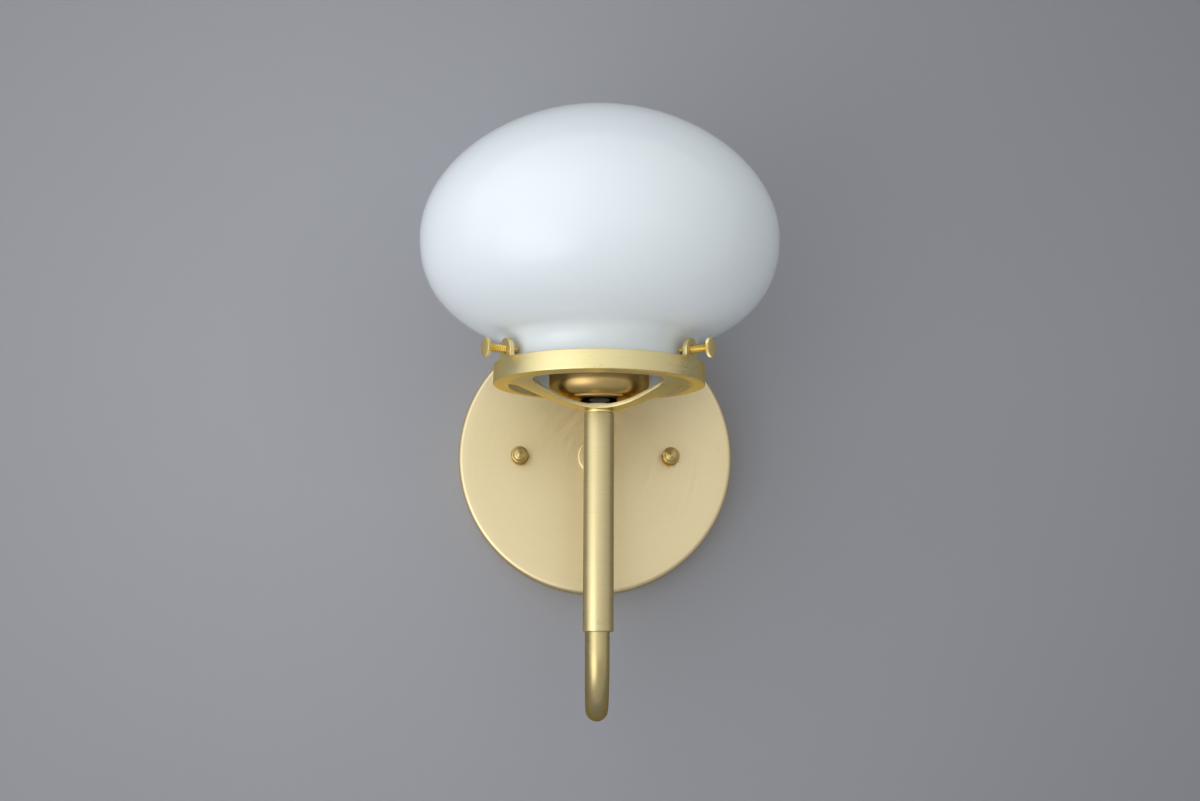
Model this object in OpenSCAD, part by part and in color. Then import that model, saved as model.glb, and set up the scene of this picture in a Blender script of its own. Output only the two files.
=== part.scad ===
// Uplighter wall sconce: a round canopy on the wall, a hooked brass arm, an upright
// sleeve and, on top of it, a three-armed shade holder with an opal glass shade.
// Origin: centre of the canopy, in the plane of the wall. The wall is the plane y = 0,
// the room lies towards -Y, and +Z points up.

/* [Canopy] */
// Outside diameter of the canopy
canopy_d = 127; // [112:1:160]
// Depth of the canopy, from the wall to its face
canopy_depth = 16; // [15:0.5:28]
// Thickness of the canopy's spun sheet
canopy_sheet = 1.2; // [0.8:0.1:1.5]
// Radius of the rounded edge of the canopy's face
canopy_edge_r = 2; // [1.6:0.1:4]
// Outside diameter of the cap nuts that hold the canopy
canopy_nut_d = 8; // [7:0.1:11]
// Height of a cap nut, from the canopy's face to its tip
canopy_nut_h = 9; // [7:0.1:14]

/* [Crossbar] */
// Length of the crossbar behind the canopy
bar_length = 108; // [106:1:110]
// Width of the crossbar
bar_width = 16; // [14:0.5:20]
// Thickness of the crossbar's steel
bar_thickness = 2; // [1.5:0.1:3]
// Distance between the two screws of the outlet box
box_screw_spacing = 88.9; // [88:0.1:89.5]
// End-to-end length of the slot for each box screw
slot_length = 12; // [8:0.5:12]
// Width of the slots
slot_width = 4.6; // [4.2:0.1:5]
// Diameter of the hole that the supply wires come through
entry_hole_d = 12.7; // [10:0.1:14]
// Distance between the two studs of the canopy
stud_spacing = 69.85; // [66:0.05:71]
// Diameter of the studs
stud_d = 4.16; // [3.9:0.01:4.3]
// Distance of the ground screw from the middle of the crossbar
ground_screw_x = 20; // [16:0.5:22]

/* [Arm] */
// Distance from the wall to the axis of the upright
projection = 101.6; // [86:0.1:125]
// Outside diameter of the arm's tube
arm_d = 9.525; // [8.5:0.025:10.5]
// Wall of the arm's tube
arm_wall = 1; // [0.7:0.1:1.4]
// Radius of the arm's bends, on the middle of the tube
bend_r = 25.4; // [20:0.1:26]
// Straight stretch between the sleeve's lower end and the hook's bend
hook_drop = 7; // [2:0.1:20]
// How deep the arm's end goes into the sleeve
arm_insert = 14; // [8:0.5:20]
// Where the arm ends inside the canopy, from the wall
arm_end = 9.5; // [9:0.1:10]
// Outside diameter of the seating ring on the canopy's face
seat_ring_d = 16.5; // [14:0.1:22]
// Thickness of the seating ring
seat_ring_t = 2; // [1:0.1:4]

/* [Sleeve] */
// Least wall of the sleeve around the arm
sleeve_over_arm = 1.5875; // [1:0.0125:3]
// Least wall of the sleeve around the nipple's thread
sleeve_over_nipple = 1.35; // [1:0.05:3]
// Height of the sleeve's top end
sleeve_top = 8.6; // [0:0.1:20]
// Length of the sleeve
sleeve_length = 90.9; // [76:0.1:110]
// Outside diameter of the threaded nipple
nipple_d = 10; // [9:0.1:10.2]
// Bore of the nipple
nipple_bore = 6.4; // [6:0.1:7]
// How deep the nipple goes into the sleeve
nipple_insert = 12; // [8:0.5:16]

/* [Shade holder] */
// Gap between the glass neck and the inside of the holder's ring
neck_play = 4.2; // [3:0.1:6]
// Wall of the ring
ring_wall = 2.25; // [1.8:0.05:3]
// Height of the ring
ring_h = 8.15; // [6:0.05:12]
// Height of the ring's lower face above the sleeve's top
ring_rise = 11.66; // [9:0.01:16]
// Thickness of the ring's floor, where the glass stands
floor_t = 2; // [1.2:0.1:3]
// Thickness of the dished arms
dish_t = 1.75; // [1.2:0.05:2.4]
// How far the lands under the glass reach inwards past the neck's outside
floor_reach = 2.5; // [1.5:0.1:3]
// How far the windows reach outwards past the neck's outside
window_reach = 0.15; // [-1.5:0.05:0.5]
// Half of the angle between the two straight sides of a window
window_half_angle = 50.9; // [46:0.1:52]
// Radius of the window's rounded inner corner
window_apex_r = 24.4; // [16:0.1:26]
// Radius of the window's two outer corners
window_corner_r = 5.65; // [3:0.05:6.5]
// Turn of the whole holder on its nipple
holder_turn = -2; // [-10:0.5:10]
// Width of the lugs that carry the thumbscrews
lug_w = 9.4; // [8:0.1:12]
// Height of a thumbscrew's axis above the ring's top edge
screw_rise = 3.5; // [3:0.1:5]

/* [Thumbscrews] */
// Diameter of the thumbscrews' thread
thumb_d = 3.5; // [3:0.1:4]
// Distance from the ring's outside to the outer face of a thumbscrew's head
thumb_stand_off = 9; // [6:0.05:14]
// Diameter of the knurled head
thumb_head_d = 8.2; // [7:0.1:10]
// Thickness of the knurled head
thumb_head_t = 1.6; // [1.2:0.1:4]
// Number of ridges round the head
knurls = 36; // [16:1:48]

/* [Glass shade] */
// Largest diameter of the shade
shade_d = 152.4; // [130:0.1:190]
// Height of the shade's widest place above the glass's foot
shade_waist = 60.8; // [56:0.1:80]
// Height of the shade's crown above its widest place
crown_h = 56.1; // [45:0.1:75]
// Depth of the shade's belly below its widest place
belly_h = 49.1; // [42:0.1:52]
// Thickness of the glass
glass_t = 3; // [2:0.1:4]
// Outside diameter of the shade's neck
neck_d = 76; // [74.5:0.1:78]
// How far outside the neck the belly's curve begins
neck_flare = 6.5; // [5:0.1:9]

/* [Socket and bulb] */
// Gap between the socket and the metal cup round it
cup_play = 3.4; // [2:0.1:5]
// Height of the cup
cup_h = 32; // [24:0.5:34]
// Thickness of the cup's sheet
cup_sheet = 0.8; // [0.5:0.1:1.2]
// Radius of the cup's lower edge
cup_corner_r = 6; // [3:0.1:7]
// Diameter of the bulb's globe
globe_d = 52; // [45:1:58]
// Overall length of the bulb
bulb_length = 79; // [72:0.5:82]

/* [Wiring] */
// Diameter of an insulated wire
wire_d = 2.2; // [1.6:0.1:2.4]
// Radius of the tightest bend of a wire, on its middle
wire_bend_r = 3.5; // [3:0.1:3.5]
// Length of a wire nut
wire_nut_h = 17; // [14:0.5:20]

/* [Fits] */
// Radial clearance between a screw or a tube and its hole
fit_gap = 0.05; // [0.02:0.01:0.1]
// Radial clearance of a hole that a part only passes through
pass_gap = 0.5; // [0.2:0.1:0.8]
// Gap between a thumbscrew's tip and the glass
seat_gap = 0.5; // [0.3:0.1:1]

/* [Hidden] */
$fn = 96;

satin_brass = [0.83, 0.72, 0.48];
yellow_brass = [0.86, 0.72, 0.38];
polished_brass = [0.90, 0.74, 0.36];
aged_brass = [0.68, 0.54, 0.32];
zinc_steel = [0.70, 0.71, 0.72];
dark_steel = [0.16, 0.15, 0.15];
opal = [0.90, 0.94, 0.94];
phenolic = [0.10, 0.09, 0.09];

// How far a cutting shape runs past the face that it cuts
over = 1;

// Canopy and crossbar
canopy_r = canopy_d / 2;
canopy_inside_y = -(canopy_depth - canopy_sheet);
bar_face_y = -bar_thickness;
stud_r = stud_d / 2;
stud_x = stud_spacing / 2;
stud_locknut_h = 3;
stud_locknut_af = 8.7;
stud_reach = 6.6;
nut_bore_h = 7;
nut_shoulder_r = 1.2;
nut_tip_h = 1.3;
nut_foot_bevel = 0.3;

// Arm, seating ring and what clamps them
hook_z = sleeve_top - sleeve_length - hook_drop;
arm_r = arm_d / 2;
arm_bore_r = arm_r - arm_wall;
leg_y = -2 * bend_r;
leg_run = projection - 4 * bend_r;
lock_washer_t = 0.8;
lock_washer_r = 7.6;
arm_locknut_h = 3;
arm_locknut_af = 14;
seat_ring_round = 0.9;

// Sleeve and nipple
sleeve_d = max(arm_d + 2 * sleeve_over_arm, nipple_d + 2 * sleeve_over_nipple);
sleeve_bottom = sleeve_top - sleeve_length;
sleeve_round = 0.5;
nipple_r = nipple_d / 2;
nipple_bore_r = nipple_bore / 2;

// Shade holder, from the sleeve's top upwards
neck_r = neck_d / 2;
ring_inner_r = neck_r + neck_play;
ring_r = ring_inner_r + ring_wall;
window_r = neck_r + window_reach;
ring_z = sleeve_top + ring_rise;
ring_top = ring_z + ring_h;
glass_foot = ring_z + floor_t;
boss_step = 0.45;
boss_r = sleeve_d / 2 - boss_step;
boss_h = 0.35;
dish_z = sleeve_top + boss_h;
dish_power = 1.66;
rim_flat = 4.9;
dish_outer_r = ring_r - rim_flat;
hub_r = 8.6;
hub_rise = 0.3;
edge_break = 0.35;
window_apex = 0.5;
floor_inner_r = neck_r - floor_reach;
lug_round = 1.4;
lug_room = 2 * lug_w;
screw_z = ring_top + screw_rise;
lug_angles = [-60, 60, 180];
hub_top = round(10 * (dish_under(hub_r) + dish_t + hub_rise)) / 10;
locknut_h = 2.4;
locknut_af = 14.3;

// Thumbscrews
thumb_r = thumb_d / 2;
thumb_point_h = 0.6;
thumb_point_in = 0.5;
knurl_depth = 0.25;
head_bevel = 0.35;
rim_step = 0.1;
face_step = 0.3;

// Glass shade: superellipse exponents of the crown and of the belly
crown_power = 1.893;
belly_power = 2.33;
shade_r = shade_d / 2;
waist_z = glass_foot + shade_waist;
flare_r = neck_r + neck_flare;
flare_z = belly_z(flare_r);
flare_turn = 90 - belly_slope(flare_r);
flare_arc_r = neck_flare / (1 - cos(flare_turn));
flare_arc_z = flare_z - flare_arc_r * sin(flare_turn);
top_room = 5;
neck_top_z = ceil(screw_z + thumb_r);
belly_top_z = round(waist_z - belly_h * 3 / 7);
shade_top_z = round(waist_z + crown_h / 2);
crown_top_z = floor(waist_z + crown_h - glass_t - top_room);
thumb_tip_r = glass_r(screw_z + thumb_r) + seat_gap;
thumb_length = round(100 * (ring_r + thumb_stand_off - thumb_tip_r)) / 100;

// Socket, cup and bulb
cup_z = hub_top + locknut_h;
cup_step = 0.8;
cup_step_run = 0.6;
cup_floor = cup_z + cup_sheet;
cup_nut_h = 2.4;
cup_nut_top = cup_floor + cup_nut_h;
nipple_top = cup_nut_top + 0.3;
socket_r = 16.8;
cup_r = socket_r + cup_play + cup_sheet;
cup_ledge_r = cup_r - cup_corner_r - cup_step_run;
socket_foot_r = 13.6;
socket_foot_h = 1.3;
socket_shoulder_h = 4.4;
recess_r = 11.5;
recess_top = cup_floor + 7.4;
socket_floor = cup_floor + 13.9;
socket_top = socket_floor + 21;
shell_outer_r = 14;
shell_t = 0.5;
shell_below_top = 1.5;
shell_eye_r = 10;
cavity_r = shell_outer_r + 0.2;
terminal_x = 13.5;
terminal_z = cup_floor + 9.9;
terminal_head_r = 3.25;
terminal_head_t = 2.2;
terminal_shank_r = 1.75;
terminal_shank_l = 4.5;
screwdriver_w = 0.8;
terminal_bottom_gap = 0.5;
terminal_flat = 5;
contact_r = 3.2;
contact_t = 0.6;
bulb_foot = socket_floor + contact_t + 0.1;
cap_r = 13;
cap_wall = 1;
cap_button_r = 4.8;
cap_glass_r = 9;
globe_t = 0.8;
cap_top = bulb_foot + 25.3;
globe_r = globe_d / 2;
globe_z = bulb_foot + bulb_length - globe_r;
globe_neck_r = 12.8;
globe_neck_z = cap_top + 2;

// Wires: the pair lies side by side in the tube
wire_r = wire_d / 2;
wire_x = wire_r + 0.15;
wire_drop_y = -(arm_end - wire_bend_r);
wire_nut_z = 13;
wire_nut_r = 4.4;
wire_nut_tip_r = 3.2;
wire_in_nut = 8;
wire_run_z = cup_nut_top + 2.1;
terminal_wire_x = terminal_x + 0.3 + wire_r;
terminal_bend_r = 2;
socket_bend_r = 2.5;
ground_wire_r = 0.8;
ground_play = 0.05;
ground_wire_short = 0.5;
ground_head_r = 4;
ground_head_t = 2.2;
ground_loop_r = stud_r + fit_gap + ground_wire_r;
crimp_r = 2.2;
crimp_h = 10;
ground_wire_y = bar_face_y - ground_wire_r - ground_play;
wire_slot_gap = 0.5;
wire_slot_w = wire_d + 2 * wire_slot_gap;

// Points along an arc in a plane, from angle a0 to a1
function arc(cx, cy, r, a0, a1, steps) =
    [for (i = [0 : steps]) let (a = a0 + (a1 - a0) * i / steps) [cx + r * cos(a), cy + r * sin(a)]];

// Height of the underside of the dish at radius r
function dish_under(r) = dish_z + (ring_z - dish_z) * pow(r / dish_outer_r, dish_power);

// Belly of the shade: height and slope at radius r
function belly_z(r) = waist_z - belly_h * pow(1 - pow(r / shade_r, belly_power), 1 / belly_power);
function belly_slope(r) =
    let (u = pow(r / shade_r, belly_power))
    atan(belly_h / shade_r * pow(1 - u, 1 / belly_power - 1) * pow(r / shade_r, belly_power - 1));

// Outer radius of the glass between its foot and the start of the belly
function glass_r(z) =
    neck_r + (z > flare_arc_z ? flare_arc_r - sqrt(pow(flare_arc_r, 2) - pow(z - flare_arc_z, 2)) : 0);

// A point of a superellipse quarter and the same point moved inwards by inset
function quarter(a, b, power, t, inset) =
    let (
        c = pow(cos(t), 2 / power),
        s = pow(sin(t), 2 / power),
        nx = pow(cos(t), 2 - 2 / power) / a,
        nz = pow(sin(t), 2 - 2 / power) / b,
        n = norm([nx, nz])
    )
    [a * c - inset * nx / n, b * s - inset * nz / n];

// Angle of the belly's quarter at which its radius has come in to flare_r
belly_end = acos(pow(flare_r / shade_r, belly_power / 2));

// Half section of the shade from the crown down to the foot, moved inwards by inset
function shade_side(inset) = concat(
    [for (i = [0 : 30]) let (q = quarter(shade_r, crown_h, crown_power, 90 - 3 * i, inset))
        [max(q[0], 0), waist_z + q[1]]],
    [for (i = [1 : 24]) let (q = quarter(shade_r, belly_h, belly_power, belly_end * i / 24, inset))
        [q[0], waist_z - q[1]]],
    arc(flare_r - neck_flare + flare_arc_r, flare_arc_z, flare_arc_r + inset,
        180 - flare_turn, 180, 10),
    [[neck_r - inset, glass_foot]]
);

// Reverse the order of a list
function backwards(list) = [for (i = [len(list) - 1 : -1 : 0]) list[i]];

// Put a shape drawn along +Z onto the canopy's axis, so that it points into the room
module from_wall(y = 0) {
    translate([0, y, 0]) rotate([90, 0, 0]) children();
}

// Put a shape onto the axis of the upright
module on_upright() {
    translate([0, -projection, 0]) children();
}

// Turn a radial shape, drawn along +X, to a lug's angle from the front
module at_lug(angle) {
    on_upright() rotate([0, 0, angle + holder_turn - 90]) children();
}

// A hexagonal nut with a round hole
module hex_nut(across_flats, height, hole_r) {
    difference() {
        cylinder(r = across_flats / sqrt(3), h = height, $fn = 6);
        translate([0, 0, -over]) cylinder(r = hole_r, h = height + 2 * over);
    }
}

// A round rod that follows the arm from y = -from_y to the height to_z of the upright
module arm_path(r, from_y, to_z) {
    translate([0, -from_y, 0]) rotate([90, 0, 0])
        cylinder(r = r, h = leg_run + bend_r - from_y);
    translate([0, -leg_run, 0]) {
        translate([0, -bend_r, -bend_r]) rotate([90, 0, -90])
            rotate_extrude(angle = 90) translate([bend_r, 0]) circle(r = r);
        translate([0, leg_y, hook_z]) cylinder(r = r, h = -bend_r - hook_z);
        translate([0, leg_y - bend_r, hook_z]) rotate([90, 0, -90]) rotate([0, 0, 180])
            rotate_extrude(angle = 180) translate([bend_r, 0]) circle(r = r);
    }
    translate([0, -projection, hook_z]) cylinder(r = r, h = to_z - hook_z);
}

module canopy() {
    inner_edge_r = canopy_edge_r - canopy_sheet;
    inner_r = canopy_r - canopy_sheet;
    face = canopy_depth;
    under = canopy_depth - canopy_sheet;
    color(satin_brass) difference() {
        from_wall() rotate_extrude($fn = 180) polygon(concat(
            [[inner_r, 0], [canopy_r, 0]],
            arc(canopy_r - canopy_edge_r, face - canopy_edge_r, canopy_edge_r, 0, 90, 10),
            [[0, face], [0, under]],
            arc(inner_r - inner_edge_r, under - inner_edge_r, inner_edge_r, 90, 0, 6)
        ));
        from_wall() cylinder(r = arm_r + fit_gap, h = canopy_depth + over);
        for (side = [-1, 1]) translate([side * stud_x, 0, 0]) from_wall()
            cylinder(r = stud_r + pass_gap, h = canopy_depth + over);
    }
}

module crossbar() {
    slot_reach = slot_length / 2 - slot_width / 2;
    color(zinc_steel) difference() {
        translate([-bar_length / 2, bar_face_y, -bar_width / 2])
            cube([bar_length, bar_thickness, bar_width]);
        from_wall(over) cylinder(d = entry_hole_d, h = bar_thickness + 2 * over);
        for (side = [-1, 1]) {
            translate([side * stud_x, 0, 0]) from_wall(over)
                cylinder(r = stud_r + fit_gap, h = bar_thickness + 2 * over);
            translate([side * box_screw_spacing / 2, 0, 0]) {
                for (end = [-1, 1]) translate([end * slot_reach, 0, 0]) from_wall(over)
                    cylinder(d = slot_width, h = bar_thickness + 2 * over);
                translate([-slot_reach, -bar_thickness - over, -slot_width / 2])
                    cube([2 * slot_reach, bar_thickness + 2 * over, slot_width]);
            }
        }
        translate([ground_screw_x, 0, 0]) from_wall(over)
            cylinder(r = stud_r + fit_gap, h = bar_thickness + 2 * over);
    }
}

module canopy_studs() {
    color(zinc_steel) for (side = [-1, 1]) translate([side * stud_x, 0, 0]) from_wall()
        cylinder(r = stud_r, h = canopy_depth + stud_reach);
}

module stud_locknuts() {
    color(zinc_steel) for (side = [-1, 1]) translate([side * stud_x, 0, 0]) from_wall(bar_face_y)
        hex_nut(stud_locknut_af, stud_locknut_h, stud_r + fit_gap);
}

// A cap nut: straight side, rounded shoulder and a shallow cone on top
module canopy_nut(side) {
    r = canopy_nut_d / 2;
    straight = canopy_nut_h - nut_tip_h - nut_shoulder_r;
    color(aged_brass) translate([side * stud_x, 0, 0]) from_wall(-canopy_depth) difference() {
        rotate_extrude() polygon(concat(
            [[0, 0], [r - nut_foot_bevel, 0], [r, nut_foot_bevel]],
            arc(r - nut_shoulder_r, straight, nut_shoulder_r, 0, 75, 8),
            [[0, canopy_nut_h]]
        ));
        translate([0, 0, -over]) cylinder(r = stud_r + fit_gap, h = nut_bore_h + over);
    }
}

module ground_screw() {
    under_head = bar_thickness + 2 * (ground_wire_r + ground_play);
    color([0.16, 0.50, 0.26]) translate([ground_screw_x, 0, 0]) from_wall() {
        cylinder(r = stud_r, h = under_head);
        translate([0, 0, under_head]) cylinder(r = ground_head_r, h = ground_head_t);
    }
}

module ground_wire() {
    color([0.75, 0.45, 0.26]) translate([ground_screw_x, ground_wire_y, 0]) {
        rotate([90, 0, 0]) rotate([0, 0, 90]) rotate_extrude(angle = 270)
            translate([ground_loop_r, 0]) circle(r = ground_wire_r);
        translate([ground_loop_r, 0, 0])
            cylinder(r = ground_wire_r, h = wire_nut_z + crimp_h / 2 - ground_wire_short);
    }
}

// A copper sleeve, pressed onto the ground wire and open above for the house's own wire
module ground_crimp() {
    color([0.78, 0.48, 0.30])
        translate([ground_screw_x + ground_loop_r, ground_wire_y, wire_nut_z]) difference() {
            cylinder(r = crimp_r, h = crimp_h);
            translate([0, 0, -over]) cylinder(r = ground_wire_r + fit_gap, h = crimp_h + 2 * over);
        }
}

module arm() {
    color(satin_brass) difference() {
        arm_path(arm_r, arm_end, sleeve_bottom + arm_insert);
        arm_path(arm_bore_r, arm_end - over, sleeve_bottom + arm_insert + over);
    }
}

module arm_seating_ring() {
    r = seat_ring_d / 2;
    color(satin_brass) from_wall(-canopy_depth) difference() {
        rotate_extrude() polygon(concat(
            [[0, 0], [r, 0]],
            arc(r - seat_ring_round, seat_ring_t - seat_ring_round, seat_ring_round, 0, 90, 8),
            [[0, seat_ring_t]]
        ));
        translate([0, 0, -over]) cylinder(r = arm_r + fit_gap, h = seat_ring_t + 2 * over);
    }
}

module arm_lock_washer() {
    color(zinc_steel) from_wall(canopy_inside_y + lock_washer_t) difference() {
        cylinder(r = lock_washer_r, h = lock_washer_t);
        translate([0, 0, -over]) cylinder(r = arm_r + fit_gap, h = lock_washer_t + 2 * over);
    }
}

module arm_locknut() {
    color(zinc_steel) from_wall(canopy_inside_y + lock_washer_t + arm_locknut_h)
        hex_nut(arm_locknut_af, arm_locknut_h, arm_r + fit_gap);
}

module sleeve() {
    r = sleeve_d / 2;
    color(satin_brass) on_upright() difference() {
        translate([0, 0, sleeve_bottom]) rotate_extrude() polygon(concat(
            [[0, 0]],
            arc(r - sleeve_round, sleeve_round, sleeve_round, -90, 0, 6),
            arc(r - sleeve_round, sleeve_length - sleeve_round, sleeve_round, 0, 90, 6),
            [[0, sleeve_length]]
        ));
        translate([0, 0, sleeve_bottom - over])
            cylinder(r = arm_r + fit_gap, h = sleeve_length + 2 * over);
        translate([0, 0, sleeve_top - nipple_insert])
            cylinder(r = nipple_r + fit_gap, h = nipple_insert + over);
    }
}

module nipple() {
    bottom = sleeve_top - nipple_insert;
    color(zinc_steel) on_upright() difference() {
        translate([0, 0, bottom]) cylinder(r = nipple_r, h = nipple_top - bottom);
        translate([0, 0, bottom - over]) cylinder(r = nipple_bore_r, h = nipple_top - bottom + 2 * over);
    }
}

// Plan of one window: two straight sides, a round inner corner and two outer corners
module window_plan() {
    h = window_half_angle;
    corner_d = window_r - window_corner_r;
    corner_a = h - asin((window_corner_r + window_apex * sin(h)) / corner_d);
    cx = corner_d * cos(corner_a);
    cy = corner_d * sin(corner_a);
    polygon(concat(
        arc(0, 0, window_r, -corner_a, corner_a, 14),
        arc(cx, cy, window_corner_r, corner_a, 90 + h, 6),
        arc(window_apex + window_apex_r / sin(h), 0, window_apex_r, 90 + h, 270 - h, 12),
        arc(cx, -cy, window_corner_r, 270 - h, 360 - corner_a, 6)
    ));
}

// Outline of a lug: straight sides with fillets at the foot and a round top
module lug_plan() {
    r = lug_w / 2;
    foot = -screw_rise;
    polygon(concat(
        [[-r - lug_round, foot - over]],
        arc(-r - lug_round, foot + lug_round, lug_round, -65, 0, 5),
        arc(0, 0, r, 180, 0, 24),
        arc(r + lug_round, foot + lug_round, lug_round, 180, 245, 5),
        [[r + lug_round, foot - over]]
    ));
}

module shade_holder() {
    dish_steps = 16;
    dish_radii = [for (i = [0 : dish_steps]) boss_r + (dish_outer_r - boss_r) * i / dish_steps];
    color(yellow_brass) difference() {
        union() {
            on_upright() rotate_extrude($fn = 180) polygon(concat(
                [[0, sleeve_top], [boss_r, sleeve_top]],
                [for (r = dish_radii) [r, dish_under(r)]],
                [[ring_r - edge_break, ring_z], [ring_r, ring_z + edge_break]],
                [[ring_r, ring_top - edge_break], [ring_r - edge_break, ring_top]],
                [[ring_inner_r, ring_top], [ring_inner_r, glass_foot], [floor_inner_r, glass_foot]],
                [for (r = backwards(dish_radii)) if (r > hub_r && r < floor_inner_r)
                    [r, dish_under(r) + dish_t]],
                [[hub_r, hub_top], [0, hub_top]]
            ));
            intersection() {
                on_upright() difference() {
                    translate([0, 0, glass_foot]) cylinder(r = ring_r, h = lug_room, $fn = 180);
                    translate([0, 0, glass_foot - over])
                        cylinder(r = ring_inner_r, h = lug_room + 2 * over, $fn = 180);
                }
                union() for (angle = lug_angles) at_lug(angle)
                    translate([0, 0, screw_z]) rotate([90, 0, 90])
                    linear_extrude(height = ring_r + over) lug_plan();
            }
        }
        on_upright() cylinder(r = nipple_r + fit_gap, h = hub_top + over);
        for (angle = [0, 120, 240]) at_lug(angle)
            linear_extrude(height = glass_foot + over) window_plan();
        for (angle = lug_angles) at_lug(angle) translate([ring_inner_r - over, 0, screw_z])
            rotate([0, 90, 0]) cylinder(r = thumb_r + fit_gap, h = ring_wall + 2 * over);
    }
}

module holder_locknut() {
    color(dark_steel) on_upright() translate([0, 0, hub_top])
        hex_nut(locknut_af, locknut_h, nipple_r + fit_gap);
}

// A thumbscrew: plain shank for the thread and a head with straight ridges
module thumbscrew(angle) {
    head_r = thumb_head_d / 2;
    rim_r = head_r - knurl_depth - rim_step;
    face_r = rim_r - face_step;
    shank = thumb_length - thumb_head_t;
    color(polished_brass) at_lug(angle) translate([thumb_tip_r, 0, screw_z]) rotate([0, 90, 0]) {
        cylinder(r1 = thumb_r - thumb_point_in, r2 = thumb_r, h = thumb_point_h);
        translate([0, 0, thumb_point_h]) cylinder(r = thumb_r, h = shank - thumb_point_h);
        translate([0, 0, shank]) {
            cylinder(r1 = face_r, r2 = rim_r, h = head_bevel);
            translate([0, 0, head_bevel]) linear_extrude(height = thumb_head_t - 2 * head_bevel)
                polygon([for (i = [0 : 2 * knurls - 1]) let (
                    a = 180 * i / knurls,
                    r = i % 2 == 0 ? head_r : head_r - knurl_depth
                ) [r * cos(a), r * sin(a)]]);
            translate([0, 0, thumb_head_t - head_bevel])
                cylinder(r1 = rim_r, r2 = face_r, h = head_bevel);
        }
    }
}

// The shade is one piece of glass. It is drawn in five bands, one on the other: the neck
// up to just above the thumbscrews' tips, which it slides between, the belly, the widest
// part, the crown and, from top_room below the glass's inner top, the closed top.
module glass_band(low, high) {
    color(opal) on_upright() intersection() {
        rotate_extrude($fn = 180) polygon(concat(shade_side(0), backwards(shade_side(glass_t))));
        translate([0, 0, low]) cylinder(r = shade_r + over, h = high - low);
    }
}

// Half section of the cup's outside, moved inwards by inset
function cup_side(inset) = concat(
    [[0, cup_z + inset], [cup_ledge_r, cup_z + inset]],
    arc(cup_r - cup_corner_r, cup_z + cup_step + cup_corner_r, cup_corner_r - inset, -90, 0, 10),
    [[cup_r - inset, cup_z + cup_h]]
);

module socket_cup() {
    color(aged_brass) on_upright() difference() {
        rotate_extrude() polygon(concat(cup_side(0), backwards(cup_side(cup_sheet))));
        translate([0, 0, cup_z - over]) cylinder(r = nipple_r + fit_gap, h = cup_sheet + 2 * over);
    }
}

module cup_nut() {
    color(satin_brass) on_upright() translate([0, 0, cup_floor])
        hex_nut(locknut_af, cup_nut_h, nipple_r + fit_gap);
}

module socket_body() {
    slot_z = wire_run_z - wire_r - wire_slot_gap;
    slot_h = terminal_z - terminal_head_r - slot_z;
    slot_depth = socket_r - recess_r;
    flat_h = socket_floor - slot_z;
    flat_w = 2 * terminal_flat;
    color(phenolic) on_upright() difference() {
        rotate_extrude() polygon([
            [0, cup_floor], [socket_foot_r, cup_floor], [socket_foot_r, cup_floor + socket_foot_h],
            [socket_r, cup_floor + socket_shoulder_h], [socket_r, socket_top], [0, socket_top]
        ]);
        translate([0, 0, cup_floor - over]) cylinder(r = recess_r, h = recess_top - cup_floor + over);
        translate([0, 0, socket_floor]) cylinder(r = cavity_r, h = socket_top - socket_floor + over);
        for (side = [-1, 1]) {
            translate([side * (terminal_x + terminal_flat), 0, slot_z + flat_h / 2])
                cube([flat_w, 2 * socket_r, flat_h], center = true);
            translate([side * recess_r, 0, slot_z + slot_h / 2])
                cube([2 * slot_depth, wire_slot_w, slot_h], center = true);
            translate([side * (terminal_x - terminal_shank_l - terminal_bottom_gap), 0, terminal_z])
                rotate([0, side * 90, 0])
                cylinder(r = terminal_shank_r + fit_gap, h = terminal_shank_l + terminal_bottom_gap + over);
        }
    }
}

module screw_shell() {
    color(satin_brass) on_upright() difference() {
        translate([0, 0, socket_floor])
            cylinder(r = shell_outer_r, h = socket_top - socket_floor - shell_below_top);
        translate([0, 0, socket_floor + shell_t])
            cylinder(r = shell_outer_r - shell_t, h = socket_top - socket_floor);
        translate([0, 0, socket_floor - over]) cylinder(r = shell_eye_r, h = shell_t + 2 * over);
    }
}

module centre_contact() {
    color(polished_brass) on_upright() translate([0, 0, socket_floor]) cylinder(r = contact_r, h = contact_t);
}

module terminal_screws() {
    for (side = [-1, 1]) color(side < 0 ? polished_brass : zinc_steel)
        on_upright() translate([side * terminal_x, 0, terminal_z]) rotate([0, side * 90, 0]) {
            translate([0, 0, -terminal_shank_l]) cylinder(r = terminal_shank_r, h = terminal_shank_l);
            difference() {
                cylinder(r = terminal_head_r, h = terminal_head_t);
                translate([-screwdriver_w / 2, -terminal_head_r, terminal_head_t - screwdriver_w])
                    cube([screwdriver_w, 2 * terminal_head_r, screwdriver_w + over]);
            }
        }
}

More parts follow.
